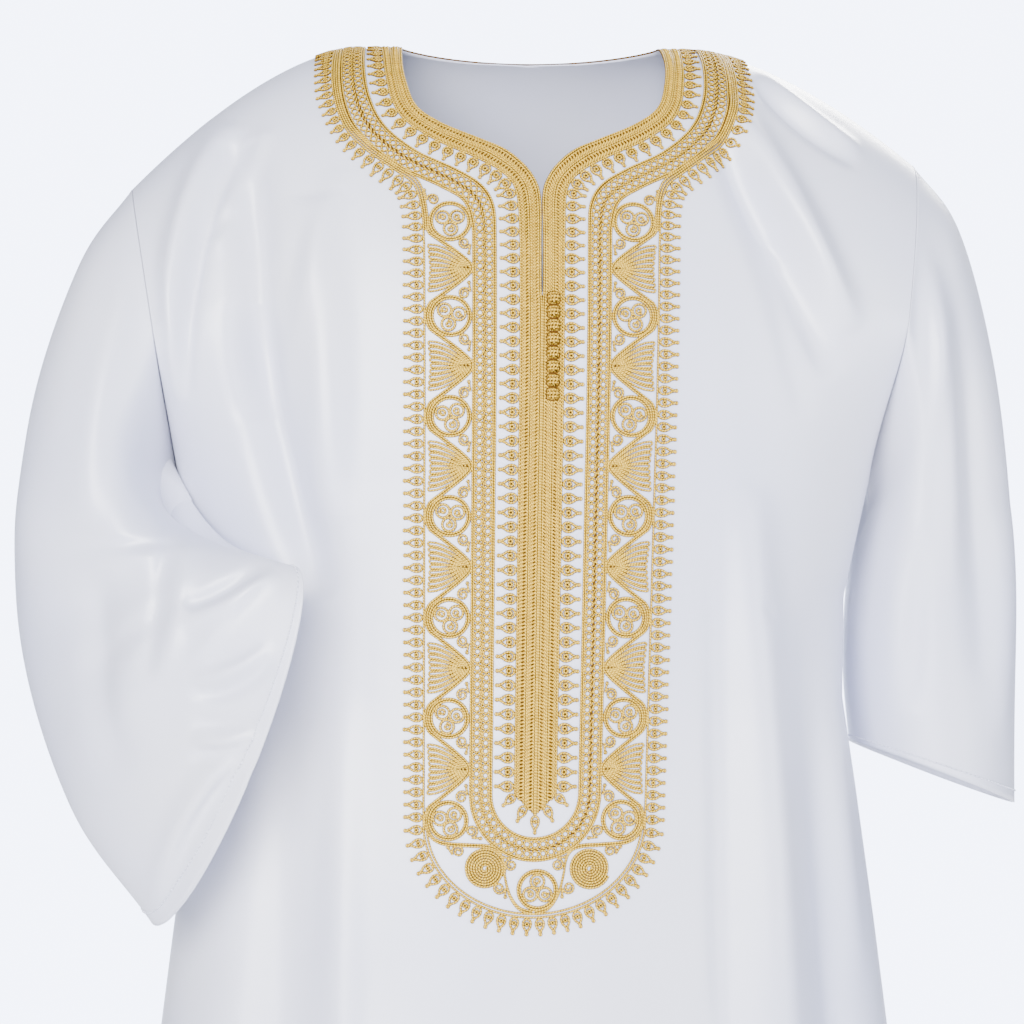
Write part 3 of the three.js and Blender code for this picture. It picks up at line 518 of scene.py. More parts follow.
def fold_heights(folds, x, z):
    """Sum of soft ridges and troughs along curves in the front view."""
    total = np.zeros(x.shape)
    t = np.linspace(0, 1, FOLD_STEPS + 1)
    for row in folds:
        fold = dict(zip(FOLD_COLUMNS, row))
        cx = (1 - t) ** 2 * fold["x0"] + 2 * t * (1 - t) * fold["x1"] + t * t * fold["x2"]
        cz = (1 - t) ** 2 * fold["z0"] + 2 * t * (1 - t) * fold["z1"] + t * t * fold["z2"]
        reach = FOLD_REACH * max(fold["left"], fold["right"])
        near = (x > cx.min() - reach) & (x < cx.max() + reach)
        near &= (z > cz.min() - reach) & (z < cz.max() + reach)
        px, pz = x[near], z[near]
        nearest = np.full(px.shape, 1e9)
        signed = np.zeros(px.shape)
        place = np.zeros(px.shape)
        for i in range(FOLD_STEPS):
            dx, dz = cx[i + 1] - cx[i], cz[i + 1] - cz[i]
            length = math.hypot(dx, dz)
            along = np.clip(((px - cx[i]) * dx + (pz - cz[i]) * dz) / length**2, 0, 1)
            offx, offz = px - cx[i] - along * dx, pz - cz[i] - along * dz
            distance = np.hypot(offx, offz)
            closer = distance < nearest
            nearest = np.where(closer, distance, nearest)
            signed = np.where(closer, (dx * offz - dz * offx) / length, signed)
            place = np.where(closer, (i + along) / FOLD_STEPS, place)
        width = np.where(signed < 0, fold["left"], fold["right"])
        fade = np.sin(math.pi * np.clip(place, 0, 1)) ** FOLD_ENDS
        total[near] += fold["height"] * fade * np.exp(-((nearest / width) ** 2))
    return total


def flute_heights(flutes, share, z):
    growth = np.clip((-z - FLUTES_FROM) / (HEM_DROP - FLUTES_FROM), 0, 1) ** FLUTE_GROWTH
    total = np.zeros(share.shape)
    for row in flutes:
        flute = dict(zip(FLUTE_COLUMNS, row))
        total += flute["height"] * np.exp(-(((share - flute["share"]) / flute["width"]) ** 2))
    return total * growth


def panel_relief(panel, across, down, plain):
    """Folds, creases and flutes of a panel, none at its seams or on the embroidery."""
    folds = FRONT_FOLDS + FRONT_CREASES if panel["side"] < 0 else BACK_FOLDS + BACK_CREASES
    flutes = FRONT_FLUTES if panel["side"] < 0 else BACK_FLUTES
    share = across / half_width(panel, down)
    beside = (np.abs(across) - panel["stiff_half"]) / STIFF_FADE
    below = (down - panel["stiff_end"]) / STIFF_FADE_BELOW
    at_sides = 1 - smoothstep(np.abs(share), SIDE_FADE_FROM, 1)
    off_stiff = smoothstep(np.maximum(beside, below), 0, 1)
    fade = at_sides * smoothstep(down, 0, SHOULDER_FADE) * off_stiff
    relief = np.zeros(fade.shape)
    free = fade > 0
    if free.any():
        relief[free] = fold_heights(folds, plain[free, 0], plain[free, 2])
        relief[free] += flute_heights(flutes, share[free], plain[free, 2])
    return relief * fade


def panel_normals(panel, across, down):
    step = 0.5
    half = half_width(panel, down)
    side = np.clip(across, -half + 2 * step, half - 2 * step)
    low = np.maximum(down, step)
    acrossward = plain_points(panel, side + step, low) - plain_points(panel, side - step, low)
    downward = plain_points(panel, side, low + step) - plain_points(panel, side, low - step)
    return unit(np.cross(acrossward, downward)) * (-1 if panel["side"] < 0 else 1)


def panel_points(panel, across, down, lift=0):
    """Finished outer points, moved out by a lift, with their outward directions."""
    across, down = np.broadcast_arrays(np.asarray(across, float), np.asarray(down, float))
    plain = plain_points(panel, across, down)
    normals = panel_normals(panel, across, down)
    relief = panel_relief(panel, across, down, plain) + lift
    return plain + normals * relief[..., None], normals


def catmull_rom(p0, p1, p2, p3, t):
    """The smooth curve from p1 to p2 at shares t."""
    square = (2 * p0 - 5 * p1 + 4 * p2 - p3) * t**2
    cube = (3 * p1 - p0 - 3 * p2 + p3) * t**3
    return 0.5 * (2 * p1 + (p2 - p0) * t + square + cube)


def with_ends(rows):
    """Rows with one more at each end, so that a smooth curve runs through all of them."""
    return np.vstack([2 * rows[0] - rows[1], rows, 2 * rows[-1] - rows[-2]])


def spline(rows):
    """A smooth line through rows, as spaced points with the share of its length."""
    rows = np.array(rows, float)
    padded = with_ends(rows)
    t = np.linspace(0, 1, SPLINE_STEPS, endpoint=False)[:, None]
    points = [catmull_rom(*padded[i : i + 4], t) for i in range(len(rows) - 1)]
    points = np.vstack(points + [rows[-1:]])
    lengths = np.concatenate([[0], np.cumsum(np.hypot(*np.diff(points, axis=0).T))])
    return points, lengths / lengths[-1], lengths[-1]


CURVES = {name: spline(line["rows"]) for name, line in LINES.items()}


def line_places(name, stages):
    """Across and down on a line: stage 0 to 1 is the yoke, 1 to 2 straight, 2 to 3 the round."""
    line = LINES[name]
    points, shares, _ = CURVES[name]
    straight = line["rows"][-1][0]
    stages = np.asarray(stages, float)
    yoke = np.clip(stages, 0, 1)
    across = np.interp(yoke, shares, points[:, 0])
    down = np.interp(yoke, shares, points[:, 1])
    run = np.clip(stages - 1, 0, 1)
    across = np.where(stages > 1, straight, across)
    down = np.where(stages > 1, lerp(PANEL_TOP, line["end"], run), down)
    turn = np.clip(stages - 2, 0, 1) * math.pi / 2
    across = np.where(stages > 2, straight * np.cos(turn), across)
    down = np.where(stages > 2, line["end"] + line["round"] * np.sin(turn), down)
    return np.stack([across, down], axis=-1)


def middle_at(down):
    return MIDDLE_AT_TOP - MIDDLE_DRIFT * np.maximum(0, down - SKEW_FROM)


def skewed(sign, places):
    """Half-width places turned into x and down on the worn front."""
    across, down = places[..., 0], places[..., 1]
    narrowing = 1 - PANEL_NARROWING * np.maximum(0, down - SKEW_FROM)
    return np.stack([middle_at(down) + sign * across * narrowing, down], axis=-1)


def neck_half(panel, down):
    if panel["side"] > 0:
        share = np.clip(down / BACK_NECK_DROP, 0, 1)
        return NECK_EDGE[0][0] * np.sqrt(1 - share * share)
    points, _, _ = CURVES["neck"]
    return np.where(down < SLIT_END, np.interp(down, points[:, 1], points[:, 0]), 0)


# Meshes


def make_piece(name, points, faces, material, corner_uvs=None):
    """A mesh object in metres, with its material, riding on the one body."""
    mesh = bpy.data.meshes.new(name)
    points = np.asarray(points, dtype=np.float32) * MM
    faces = np.asarray(faces, dtype=np.int32)
    corners = faces.shape[1]
    mesh.vertices.add(len(points))
    mesh.vertices.foreach_set("co", points.ravel())
    mesh.loops.add(faces.size)
    mesh.loops.foreach_set("vertex_index", faces.ravel())
    mesh.polygons.add(len(faces))
    mesh.polygons.foreach_set("loop_start", np.arange(0, faces.size, corners, dtype=np.int32))
    mesh.polygons.foreach_set("loop_total", np.full(len(faces), corners, dtype=np.int32))
    if corner_uvs is not None:
        layer = mesh.uv_layers.new(name="UVMap")
        layer.data.foreach_set("uv", np.asarray(corner_uvs, dtype=np.float32).ravel())
    mesh.update(calc_edges=True)
    mesh.polygons.foreach_set("use_smooth", np.ones(len(faces), dtype=bool))
    piece = bpy.data.objects.new(name, mesh)
    bpy.context.scene.collection.objects.link(piece)
    mesh.materials.append(material)
    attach(piece, "root")
    return piece


def grid_quads(grid):
    a, b = grid[:-1, :-1], grid[:-1, 1:]
    c, d = grid[1:, 1:], grid[1:, :-1]
    return np.stack([a, d, c, b], axis=-1).reshape(-1, 4)


def signed_volume(points, quads):
    total = 0.0
    for i, j, k in ((0, 1, 2), (0, 2, 3)):
        a, b, c = points[quads[:, i]], points[quads[:, j]], points[quads[:, k]]
        total += np.einsum("ij,ij->i", a, np.cross(b, c)).sum()
    return total


def shell(outer, inner, quads):
    """A closed thin wall: outer face, inner face turned round, and a rim on every open edge."""
    count = len(outer)
    starts = quads.ravel()
    ends = np.roll(quads, -1, axis=1).ravel()
    keys = starts.astype(np.int64) * count + ends
    open_edge = ~np.isin(keys, ends.astype(np.int64) * count + starts)
    starts, ends = starts[open_edge], ends[open_edge]
    rim = np.stack([ends, starts, starts + count, ends + count], axis=1)
    faces = np.vstack([quads, quads[:, ::-1] + count, rim])
    points = np.vstack([outer, inner])
    if signed_volume(points, faces) < 0:
        faces = faces[:, ::-1]
    return points, faces


def vertex_normals(points, quads):
    corners = [points[quads[:, k]] for k in range(4)]
    cross = np.cross(corners[2] - corners[0], corners[3] - corners[1])
    normals = np.zeros_like(points)
    for corner in range(4):
        np.add.at(normals, quads[:, corner], cross)
    return unit(normals)


# Cloth


def panel_end(panel):
    """The length from the shoulder line to the hem."""
    return panel["roll_length"] + HEM_DROP - CHEST_DROP


def panel_rows(panel, grid, coarse):
    """Lengths down a panel where its rows lie, close together near the neck."""
    rows = [np.arange(first, last, step * coarse) for first, last, step in grid["spans"]]
    last_row = grid["spans"][-1][1]
    rows.append(np.linspace(last_row, panel_end(panel), grid["last_rows"] // coarse))
    return np.concatenate(rows)


def panel_piece(name, panel, grid, coarse, material):
    """A body panel: two half grids that share their middle points below the neck and slit."""
    downs, columns = panel_rows(panel, grid, coarse), grid["columns"] // coarse
    share = np.sin(np.linspace(0, 1, columns + 1) * math.pi / 2) ** COLUMN_SPACING
    half = half_width(panel, downs)
    opening = neck_half(panel, downs)
    middle = middle_at(downs) if panel["side"] < 0 else np.full(downs.shape, MIDDLE_AT_TOP)
    halves, across_all, down_all, count = [], [], [], 0
    joined = opening == 0
    for sign in (-1, 1):
        start = middle + sign * opening
        across = start[:, None] + (sign * half - start)[:, None] * share[None, :]
        down = np.broadcast_to(downs[:, None], across.shape)
        numbers = np.arange(across.size).reshape(across.shape) + count
        if halves:
            numbers[joined, 0] = halves[0][joined, 0]
        halves.append(numbers)
        across_all.append(across.ravel())
        down_all.append(down.ravel())
        count += across.size
    outer, normals = panel_points(panel, np.concatenate(across_all), np.concatenate(down_all))
    inner = outer - normals * CLOTH
    seam = panel["side"] * SEAM_HALF
    limit = np.minimum if panel["side"] < 0 else np.maximum
    inner[:, 1] = limit(inner[:, 1], seam)
    quads = np.vstack([grid_quads(halves[0]), grid_quads(halves[1][:, ::-1])])
    used = np.unique(quads)
    renumber = np.zeros(count, dtype=np.int64)
    renumber[used] = np.arange(len(used))
    points, faces = shell(outer[used], inner[used], renumber[quads])
    return make_piece(name, points, faces, material)


def ring_curve(rings, column, along):
    """Catmull-Rom through the rings' column at shares of the sleeve's length."""
    rows = np.array([ring[column] for ring in rings], float)
    padded = with_ends(rows)
    place = np.clip(along, 0, 1) * (len(rows) - 1)
    first = np.minimum(np.floor(place).astype(int), len(rows) - 2)
    return catmull_rom(*(padded[first + k] for k in range(4)), (place - first)[:, None])


def armhole_points(side, rounds):
    """The panels' side edges, which a sleeve starts from."""
    edges = np.zeros((len(rounds), 3))
    for panel, chosen in ((FRONT, rounds <= math.pi), (BACK, rounds > math.pi)):
        turn = np.where(rounds > math.pi, 2 * math.pi - rounds, rounds)[chosen] / 2
        down = np.interp(turn, panel["turns"], panel["lengths"])
        edges[chosen] = plain_points(panel, side * half_width(panel, down), down)
    edges[:, 0] += side * ARMHOLE_GAP
    return edges


def sleeve_relief(folds, rounds, along):
    total = np.zeros(np.broadcast(rounds, along).shape)
    for row in folds:
        fold = dict(zip(SLEEVE_FOLD_COLUMNS, row))
        centre = fold["round"] + fold["slant"] * (along - fold["along"])
        turned = (np.degrees(rounds) - centre) / fold["half_round"]
        moved = (along - fold["along"]) / fold["half_along"]
        total += fold["height"] * np.exp(-(turned**2) - moved**2)
    return total * smoothstep(along, 0, SLEEVE_FOLD_FADE)


def sleeve_piece(name, side, rings, folds, creases, grid, coarse, material):
    """A sleeve from its armhole to its cuff, with a row of stitches near the cuff."""
    ring_count, round_count = (count // coarse for count in grid)
    along = np.linspace(0, 1, ring_count + 1)
    rounds = np.linspace(0, 2 * math.pi, round_count, endpoint=False)
    outer_line, under_line = ring_curve(rings, 0, along), ring_curve(rings, 1, along)
    front = ring_curve(rings, 2, along)
    back_share = np.interp(along * (len(rings) - 1), range(len(rings)), [r[3] for r in rings])
    centre = (outer_line + under_line) / 2
    reach = (outer_line - under_line) / 2
    sine = np.sin(rounds)[None, :]
    bulge = sine * np.where(sine < 0, back_share[:, None], 1)
    points = centre[:, None] + reach[:, None] * np.cos(rounds)[None, :, None]
    points = points + front[:, None] * bulge[..., None]
    to_armhole = armhole_points(side, rounds) - points[0]
    points = points + to_armhole[None] * ((1 - along) ** ARMHOLE_BLEND)[:, None, None]
    away = unit(points - centre[:, None])
    relief = sleeve_relief(folds, rounds[None, :], along[:, None])
    front_only = smoothstep(sine, 0, SLEEVE_CREASE_FRONT)
    front_only = front_only * smoothstep(along[:, None], 0, SLEEVE_CREASE_FADE)
    relief += fold_heights(creases, points[..., 0], points[..., 2]) * front_only
    points = points + away * relief[..., None]
    outer = points.reshape(-1, 3)
    numbers = np.arange(len(outer)).reshape(ring_count + 1, round_count)
    numbers = np.hstack([numbers, numbers[:, :1]])
    quads = grid_quads(numbers if side > 0 else numbers[:, ::-1])
    normals = vertex_normals(outer, quads)
    if (normals[numbers[ring_count // 2, :-1]] * away[ring_count // 2]).sum() < 0:
        normals = -normals
    inner = outer - normals * CLOTH
    first = numbers[0, :-1]
    inner[first, 0] = side * np.maximum(side * inner[first, 0], side * outer[first, 0])
    row = numbers[round(CUFF_STITCHES * ring_count)]
    stitch_piece(f"stitches_{name}", outer[row], normals[row], material)
    points, faces = shell(outer, inner, quads)
    return make_piece(name, points, faces, material)


# Cords


class CordWork:
    """Gathers cords and flat strips of backing, painted as dark shade, laid on a panel, then makes
    them one mesh.
    """

    def __init__(self, panel=FRONT):
        self.panel = panel
        self.cords = []
        self.shaded_backings = []

    def add(self, places, radius, lift=None, closed=False, sides=CORD_SIDES):
        """Lay a cord along x and down on the panel. Its middle is its radius high, or lift."""
        places = np.asarray(places, float)
        lift = radius if lift is None else lift
        self.cords.append((places, radius, np.broadcast_to(lift, len(places)), closed, sides))

    def back(self, path_a, path_b):
        """A low strip of ground stitches between two paths, under the cords, painted as dark
        shade.
        """
        self.shaded_backings.append((np.asarray(path_a, float), np.asarray(path_b, float)))

    def piece(self, name, material):
        """The mesh of all that was laid."""
        laid_cords = self.laid([cord[0] for cord in self.cords], [cord[2] for cord in self.cords])
        parts = [tube(*laid, cord[1], *cord[3:]) for laid, cord in zip(laid_cords, self.cords)]
        edges = [edge for backing in self.shaded_backings for edge in backing]
        laid_edges = self.laid(edges, [np.zeros(len(edge)) for edge in edges])
        parts += [strip(*pair) for pair in zip(laid_edges[::2], laid_edges[1::2])]
        return joined_piece(name, parts, material)

    def laid(self, paths, lifts):
        """Points and outward directions along paths, from one sum over all of them."""
        if not paths:
            return []
        places = np.vstack(paths)
        down = np.maximum(places[:, 1], SHOULDER_CLEAR)
        points, normals = panel_points(self.panel, places[:, 0], down, np.concatenate(lifts))
        cuts = np.cumsum([len(path) for path in paths])[:-1]
        return list(zip(np.split(points, cuts), np.split(normals, cuts)))


def joined_piece(name, parts, material):
    """One mesh from parts that each have points, faces, UVs and faces of UVs."""
    points, faces, uvs, uv_faces = [], [], [], []
    point_count = uv_count = 0
    for part_points, part_faces, part_uvs, part_uv_faces in parts:
        points.append(part_points)
        faces.append(part_faces + point_count)
        uvs.append(part_uvs)
        uv_faces.append(part_uv_faces + uv_count)
        point_count += len(part_points)
        uv_count += len(part_uvs)
    corner_uvs = np.vstack(uvs)[np.vstack(uv_faces).ravel()]
    return make_piece(name, np.vstack(points), np.vstack(faces), material, corner_uvs)


def strip(edge_a, edge_b):
    """A low band of ground stitches between two laid edges, given a cord underside's UV so that it
    takes the painted dark shade.
    """
    sets = []
    for lift in (BACKING_TOP, BACKING_FOOT):
        sets.append(np.vstack([points + normals * lift for points, normals in (edge_a, edge_b)]))
    grid = np.arange(len(sets[0])).reshape(2, -1)
    points, faces = shell(sets[0], sets[1], grid_quads(grid))
    # The whole strip takes the cord underside's UV: painted dark shade
    return points, faces, np.array([[0, CORD_SHADED_UNDERSIDE]]), np.zeros(faces.shape, dtype=np.int64)


def stitch_piece(name, path, normals, material):
    """A row of short straight stitches along a line on the cloth."""
    lengths = path_lengths(path)
    rise = np.array(STITCH["rise"])[:, None]
    parts = []
    for start in np.arange(0, lengths[-1] - STITCH["length"], STITCH["pitch"]):
        at = start + np.array([0, 0.5, 1]) * STITCH["length"]
        out = unit(interpolated(at, lengths, normals))
        run = interpolated(at, lengths, path) + out * STITCH["radius"] * rise
        parts.append(tube(run, out, STITCH["radius"], False, THIN_SIDES))
    return joined_piece(name, parts, material)


def tube(p, n, radius, closed, sides):
    """A tube round a path with outward directions n. An open end closes to a point.

    Its UV runs along the cord in twists, and round it with 0.25 on top and 0.75 underneath.
    """
    if closed:
        tangent = np.roll(p, -1, axis=0) - np.roll(p, 1, axis=0)
    else:
        tangent = np.gradient(p, axis=0)
    tangent = unit(tangent)
    side = unit(np.cross(n, tangent))
    up = np.cross(tangent, side)
    radii = np.full(len(p), float(radius))
    if not closed:
        p = np.vstack([p[:1], p, p[-1:]])
        side = np.vstack([side[:1], side, side[-1:]])
        up = np.vstack([up[:1], up, up[-1:]])
        end = radius * CORD_TIP_SHARE
        radii = np.concatenate([[end], radii, [end]])
    angle = np.linspace(0, 2 * math.pi, sides, endpoint=False)[None, :, None]
    ring = side[:, None] * np.cos(angle) + up[:, None] * np.sin(angle)
    points = (p[:, None] + ring * radii[:, None, None]).reshape(-1, 3)
    rows = np.arange(len(points)).reshape(len(p), sides)
    rows = np.hstack([rows, rows[:, :1]])
    loop = np.vstack([p, p[:1]]) if closed else p
    if closed:
        rows = np.vstack([rows, rows[:1]])
    lengths = path_lengths(loop)
    twists = max(1, round(lengths[-1] / CORD_TWIST))
    along = lengths / lengths[-1] * twists
    round_share = np.linspace(0, 1, sides + 1)
    uvs = np.stack(np.broadcast_arrays(along[:, None], round_share[None, :]), axis=-1)
    uv_rows = np.arange(uvs.shape[0] * uvs.shape[1]).reshape(uvs.shape[:2])
    return points, grid_quads(rows)[:, ::-1], uvs.reshape(-1, 2), grid_quads(uv_rows)[:, ::-1]


# Paths: across and down on the front, or points in space


def path_lengths(places):
    """The length from a path's start to each of its places."""
    return np.concatenate([[0], np.cumsum(np.linalg.norm(np.diff(places, axis=0), axis=1))])


def interpolated(at, lengths, values):
    return np.stack([np.interp(at, lengths, column) for column in values.T], axis=-1)


def at_lengths(places, at):
    return interpolated(at, path_lengths(places), places)


def evened(path, count):
    """The same path as a number of places equally far apart."""
    return at_lengths(path, np.linspace(0, path_lengths(path)[-1], count))


def resampled(places, step=3.0):
    """The same path with places a step apart."""
    return evened(places, max(2, int(round(path_lengths(places)[-1] / step)) + 1))


def spaced(places, pitch, near=0.8):
    """Places a pitch apart along a path, with its direction at each."""
    total = path_lengths(places)[-1]
    count = max(1, int(round(total / pitch)))
    at = (np.arange(count) + 0.5) * total / count
    along = at_lengths(places, at + near) - at_lengths(places, at - near)
    return at_lengths(places, at), unit(along)


def offset_path(places, distance):
    """A path beside another, on its left where down is forward and the distance over 0."""
    direction = unit(np.gradient(places, axis=0))
    return places + distance * np.stack([direction[:, 1], -direction[:, 0]], axis=-1)


def between(line_a, line_b, share, stages):
    return lerp(line_places(line_a, stages), line_places(line_b, stages), share)


def stage_list(first, last):
    """Stages with close steps where the lines bend."""
    everything = np.concatenate(
        [np.linspace(i, i + 1, steps)[min(i, 1) :] for i, steps in enumerate(STAGE_STEPS)]
    )
    inside = everything[(everything > first) & (everything < last)]
    return np.concatenate([[first], inside, [last]])


def route(line_a, line_b, share, sign, first=0, last=3):
    """A path between two lines on one side of the front."""
    return skewed(sign, between(line_a, line_b, share, stage_list(first, last)))


def whole_route(line_a, line_b, share):
    """Down the left side, round the bottom and up the right."""
    left = route(line_a, line_b, share, -1)
    right = route(line_a, line_b, share, 1)
    return np.vstack([left, right[-2::-1]])


def back_route(line_a, line_b, share):
    """A half ellipse round the back of the neck, between two lines' ends."""
    turn = np.linspace(0, math.pi, BACK_STEPS)
    half = lerp(LINES[line_a]["rows"][0][0], LINES[line_b]["rows"][0][0], share)
    drop = lerp(LINES[line_a]["back"], LINES[line_b]["back"], share)
    return np.stack([MIDDLE_AT_TOP - half * np.cos(turn), drop * np.sin(turn)], axis=-1)


def ring_path(centre, radius, steps, start=0.0):
    turn = np.linspace(0, 2 * math.pi, steps, endpoint=False) + start
    return np.asarray(centre) + radius * np.stack([np.cos(turn), np.sin(turn)], axis=-1)


def spiral_path(centre, outer, inner, turns, start, direction=1, steps=14):
    """A spiral from its outer to its inner radius, with a number of steps in each turn."""
    share = np.linspace(0, 1, max(8, int(turns * steps)))
    turn = start + direction * share * turns * 2 * math.pi
    radius = lerp(outer, inner, share)[:, None]
    return np.asarray(centre) + radius * np.stack([np.cos(turn), np.sin(turn)], axis=-1)


def curve_path(rows, step=1.6):
    """A smooth path through a few places."""
    return resampled(spline(rows)[0], step)


# Stitched motifs


def add_drop(work, base, tip, head, radius):
    """One drop: a round head with a small ring in it, then a narrow neck and a knot."""
    reach = np.asarray(tip, float) - base
    length = np.linalg.norm(reach)
    out = reach / length
    side = np.array([-out[1], out[0]])
    head_long = length * DROP["head_long"]
    middle = radius * DROP["foot"] + head_long
    turn = np.radians(np.linspace(DROP["first"], DROP["last"], DROP["steps"]))
    neck_end, neck = length - DROP["neck_end"], DROP["neck"]
    egg = head * np.sin(turn) * (1 - DROP["egg"] * np.cos(turn))
    along = np.concatenate([[neck_end], middle + head_long * np.cos(turn), [neck_end]])
    wide = np.concatenate([[neck], egg, [-neck]])
    work.add(base + along[:, None] * out + wide[:, None] * side, radius, closed=True)
    eye, room, ground = base + out * middle * DROP_EYE["place"], head - radius, DROP_EYE["ground"]
    ring = ring_path(eye, room * DROP_EYE["ring"], DROP_EYE["steps"])
    work.add(ring, room * DROP_EYE["cord"], lift=DROP_EYE["lift"], closed=True, sides=THIN_SIDES)
    # A small ground patch under the eye's ring, painted as dark shade
    across = np.stack([eye - ground * out, eye + ground * out])
    work.back(across - ground * side, across + ground * side)
    knot = ring_path(tip - out * DROP_KNOT["place"], DROP_KNOT["ring"], DROP_KNOT["steps"])
    work.add(knot, DROP_KNOT["cord"], lift=DROP_KNOT["lift"], closed=True, sides=THIN_SIDES)


def drop_row(work, base_path, limit_path, outward, pitch, most, drop):
    """Drops square to a path, each reaching to the limit path or the most length."""
    bases, directions = spaced(base_path, pitch)
    for base, direction in zip(bases, directions):
        out = outward * np.array([direction[1], -direction[0]])
        gap = np.linalg.norm(limit_path - base, axis=1).min()
        add_drop(work, base, base + out * min(most, gap), **drop)


def plait(work, path_a, path_b, pitch, radius, lean=1):
    """Stitches side by side between two paths, leaning forward, or back if lean is under 0."""
    count = int(round(path_lengths(path_a)[-1] / pitch))
    at = np.arange(count + 1) / count
    starts = at_lengths(path_a, at * path_lengths(path_a)[-1])
    ends = at_lengths(path_b, at * path_lengths(path_b)[-1])
    rise = np.array(PLAIT_RISE) * radius
    for i in range(count):
        start, end = (starts[i], ends[i + 1]) if lean > 0 else (starts[i + 1], ends[i])
        work.add(np.stack([start, (start + end) / 2, end]), radius, lift=rise, sides=THIN_SIDES)


def add_braid(work, path_at):
    """The braid: edge cords, two plaits and a pair of cords between them, on a full ground painted
    as dark shade.
    """
    work.back(*(path_at(share) for share in BRAID_GROUND))
    for share in BRAID_CORDS:
        work.add(resampled(path_at(share)), BRAID_CORD)
    for low, high, lean in BRAID_PLAITS:
        plait(work, path_at(low), path_at(high), lean=lean, **PLAIT_STITCH)


def add_ring_band(work, path_at):
    """The mid band: two rows of small rings between edge cords, with a chain in the middle."""
    # Grounds between the cords, painted as dark shade
    for low, high in BAND_GROUNDS:
        work.back(path_at(low), path_at(high))
    for share in BAND_CORDS:
        work.add(resampled(path_at(share)), BAND_CORD)
    for share in BAND_RINGS:
        centres, directions = spaced(path_at(share), RING["pitch"])
        for centre, direction in zip(centres, directions):
            start = math.atan2(direction[1], direction[0])
            ring = ring_path(centre, RING["radius"], RING["steps"], start)
            work.add(ring, RING["cord"], lift=RING["lift"], closed=True)
    plait(work, *(path_at(share) for share in CHAIN), **CHAIN_STITCH)


def add_circle(work, centre, radius, first):
    """A double ring round three small coils, the first at an angle in degrees."""
    for inward, steps, cord in CIRCLE_RINGS:
        work.add(ring_path(centre, radius - inward, steps), cord, closed=True)
    for k in range(3):
        turn = math.radians(first + 120 * k)
        middle = centre + COIL["out"] * np.array([math.cos(turn), -math.sin(turn)])
        ring = ring_path(middle, COIL["ring"], COIL["ring_steps"])
        work.add(ring, COIL["ring_cord"], lift=COIL["lift"], closed=True)
        inside = spiral_path(middle, COIL["outer"], COIL["inner"], COIL["turns"], turn)
        work.add(inside, COIL["cord"], lift=COIL["lift"])


def add_curl(work, centre, tail, way):
    """A curl whose cord runs on to a small knot at its tail."""
    reach = tail - centre
    start = math.atan2(reach[1], reach[0]) + way * CURL["lead"]
    curl = spiral_path(centre, CURL["radius"], CURL["inner"], CURL["turns"], start, -way)
    work.add(curl, CURL["cord"], lift=CURL["lift"])
    first = centre + CURL["radius"] * np.array([math.cos(start), math.sin(start)])
    work.add(np.stack([first, lerp(first, tail, 0.5), tail]), CURL["tail_cord"])
    knot = ring_path(tail, CURL_KNOT["ring"], CURL_KNOT["steps"])
    work.add(knot, CURL_KNOT["cord"], lift=CURL_KNOT["lift"], closed=True, sides=THIN_SIDES)


def finger_path(start, tip, half):
    """A narrow loop that bows away from the spine and widens to a round end."""
    share = np.linspace(0, 1, len(FINGER_WIDTHS))
    bowed = 1 - (1 - share) ** FAN["bow"]
    middle = np.stack([lerp(start[0], tip[0], share), lerp(start[1], tip[1], bowed)], axis=-1)
    out = unit(np.gradient(middle, axis=0))
    side = np.stack([-out[:, 1], out[:, 0]], axis=-1)
    wide = (half * np.array(FINGER_WIDTHS))[:, None]
    turn = np.radians(FINGER_END)[:, None]
    end = middle[-1] + half * (np.cos(turn) * out[-1] + np.sin(turn) * side[-1])
    return np.vstack([middle + wide * side, end, (middle - wide * side)[::-1]])


def add_fan(work, sign, down):
    """Fingers from a spine beside the mid band, spread towards the outer line."""
    for i in range(FAN["loops"]):
        spread = (i / (FAN["loops"] - 1)) * 2 - 1
        inward = 1 - abs(spread)
        tip = (FAN["tip"] - FAN["tip_round"] * inward, down + spread * FAN["tip_spread"])
        start = (FAN["start"] + FAN["spine"] * inward, down + spread * FAN["start_spread"])
        finger = skewed(sign, finger_path(start, tip, FAN["half"]))
        work.add(finger, FAN["cord"], lift=FAN["lift"], closed=True)
    # The ground between the fingers, painted as dark shade
    ground = []
    for way in (-1, 1):
        ends = [(across, down + way * apart) for across, apart in FAN_GROUND]
        ground.append(skewed(sign, np.linspace(*ends, 9)))
    work.back(*ground)


def wave_path():
    """Round the outside of each circle and in round each fan's apex, in half widths."""
    down = np.arange(CIRCLE_DOWN[0] + WAVE_FROM, CIRCLE_DOWN[-1] + WAVE_TO, WAVE_STEP)
    off = np.abs(down[:, None] - np.array(CIRCLE_DOWN, float)[None, :]).min(axis=1)
    edge = MOTIF_ACROSS + math.sqrt(WAVE_RADIUS**2 - WAVE_ARC**2)
    arc = MOTIF_ACROSS + np.sqrt(np.maximum(WAVE_RADIUS**2 - off**2, 0))
    half_gap = (CIRCLE_DOWN[1] - CIRCLE_DOWN[0]) / 2
    share = np.clip((off - WAVE_ARC) / (half_gap - WAVE_ARC), 0, 1)
    # A hyperbola: nearly straight sides with a rounded turn beside the mid band
    swing = np.hypot(WAVE_BEND * (1 - share), 1) - 1
    swing /= math.hypot(WAVE_BEND, 1) - 1
    across = np.where(off < WAVE_ARC, arc, lerp(WAVE_INNER, edge, swing))
    return np.stack([across, down], axis=-1)


def add_waves(work, sign):
    """Two strands from the yoke along every circle and fan, to the bottom of the panel."""
    wave = wave_path()
    for k in range(2):
        beside = WAVE_APART * k
        strand = offset_path(wave, beside)
        tail = [tuple(strand[-1])] + [(across, down + beside) for across, down in WAVE_TAIL]
        joined = np.vstack([strand[:-1], curve_path(tail)])
        work.add(skewed(sign, joined), WAVE_CORD)


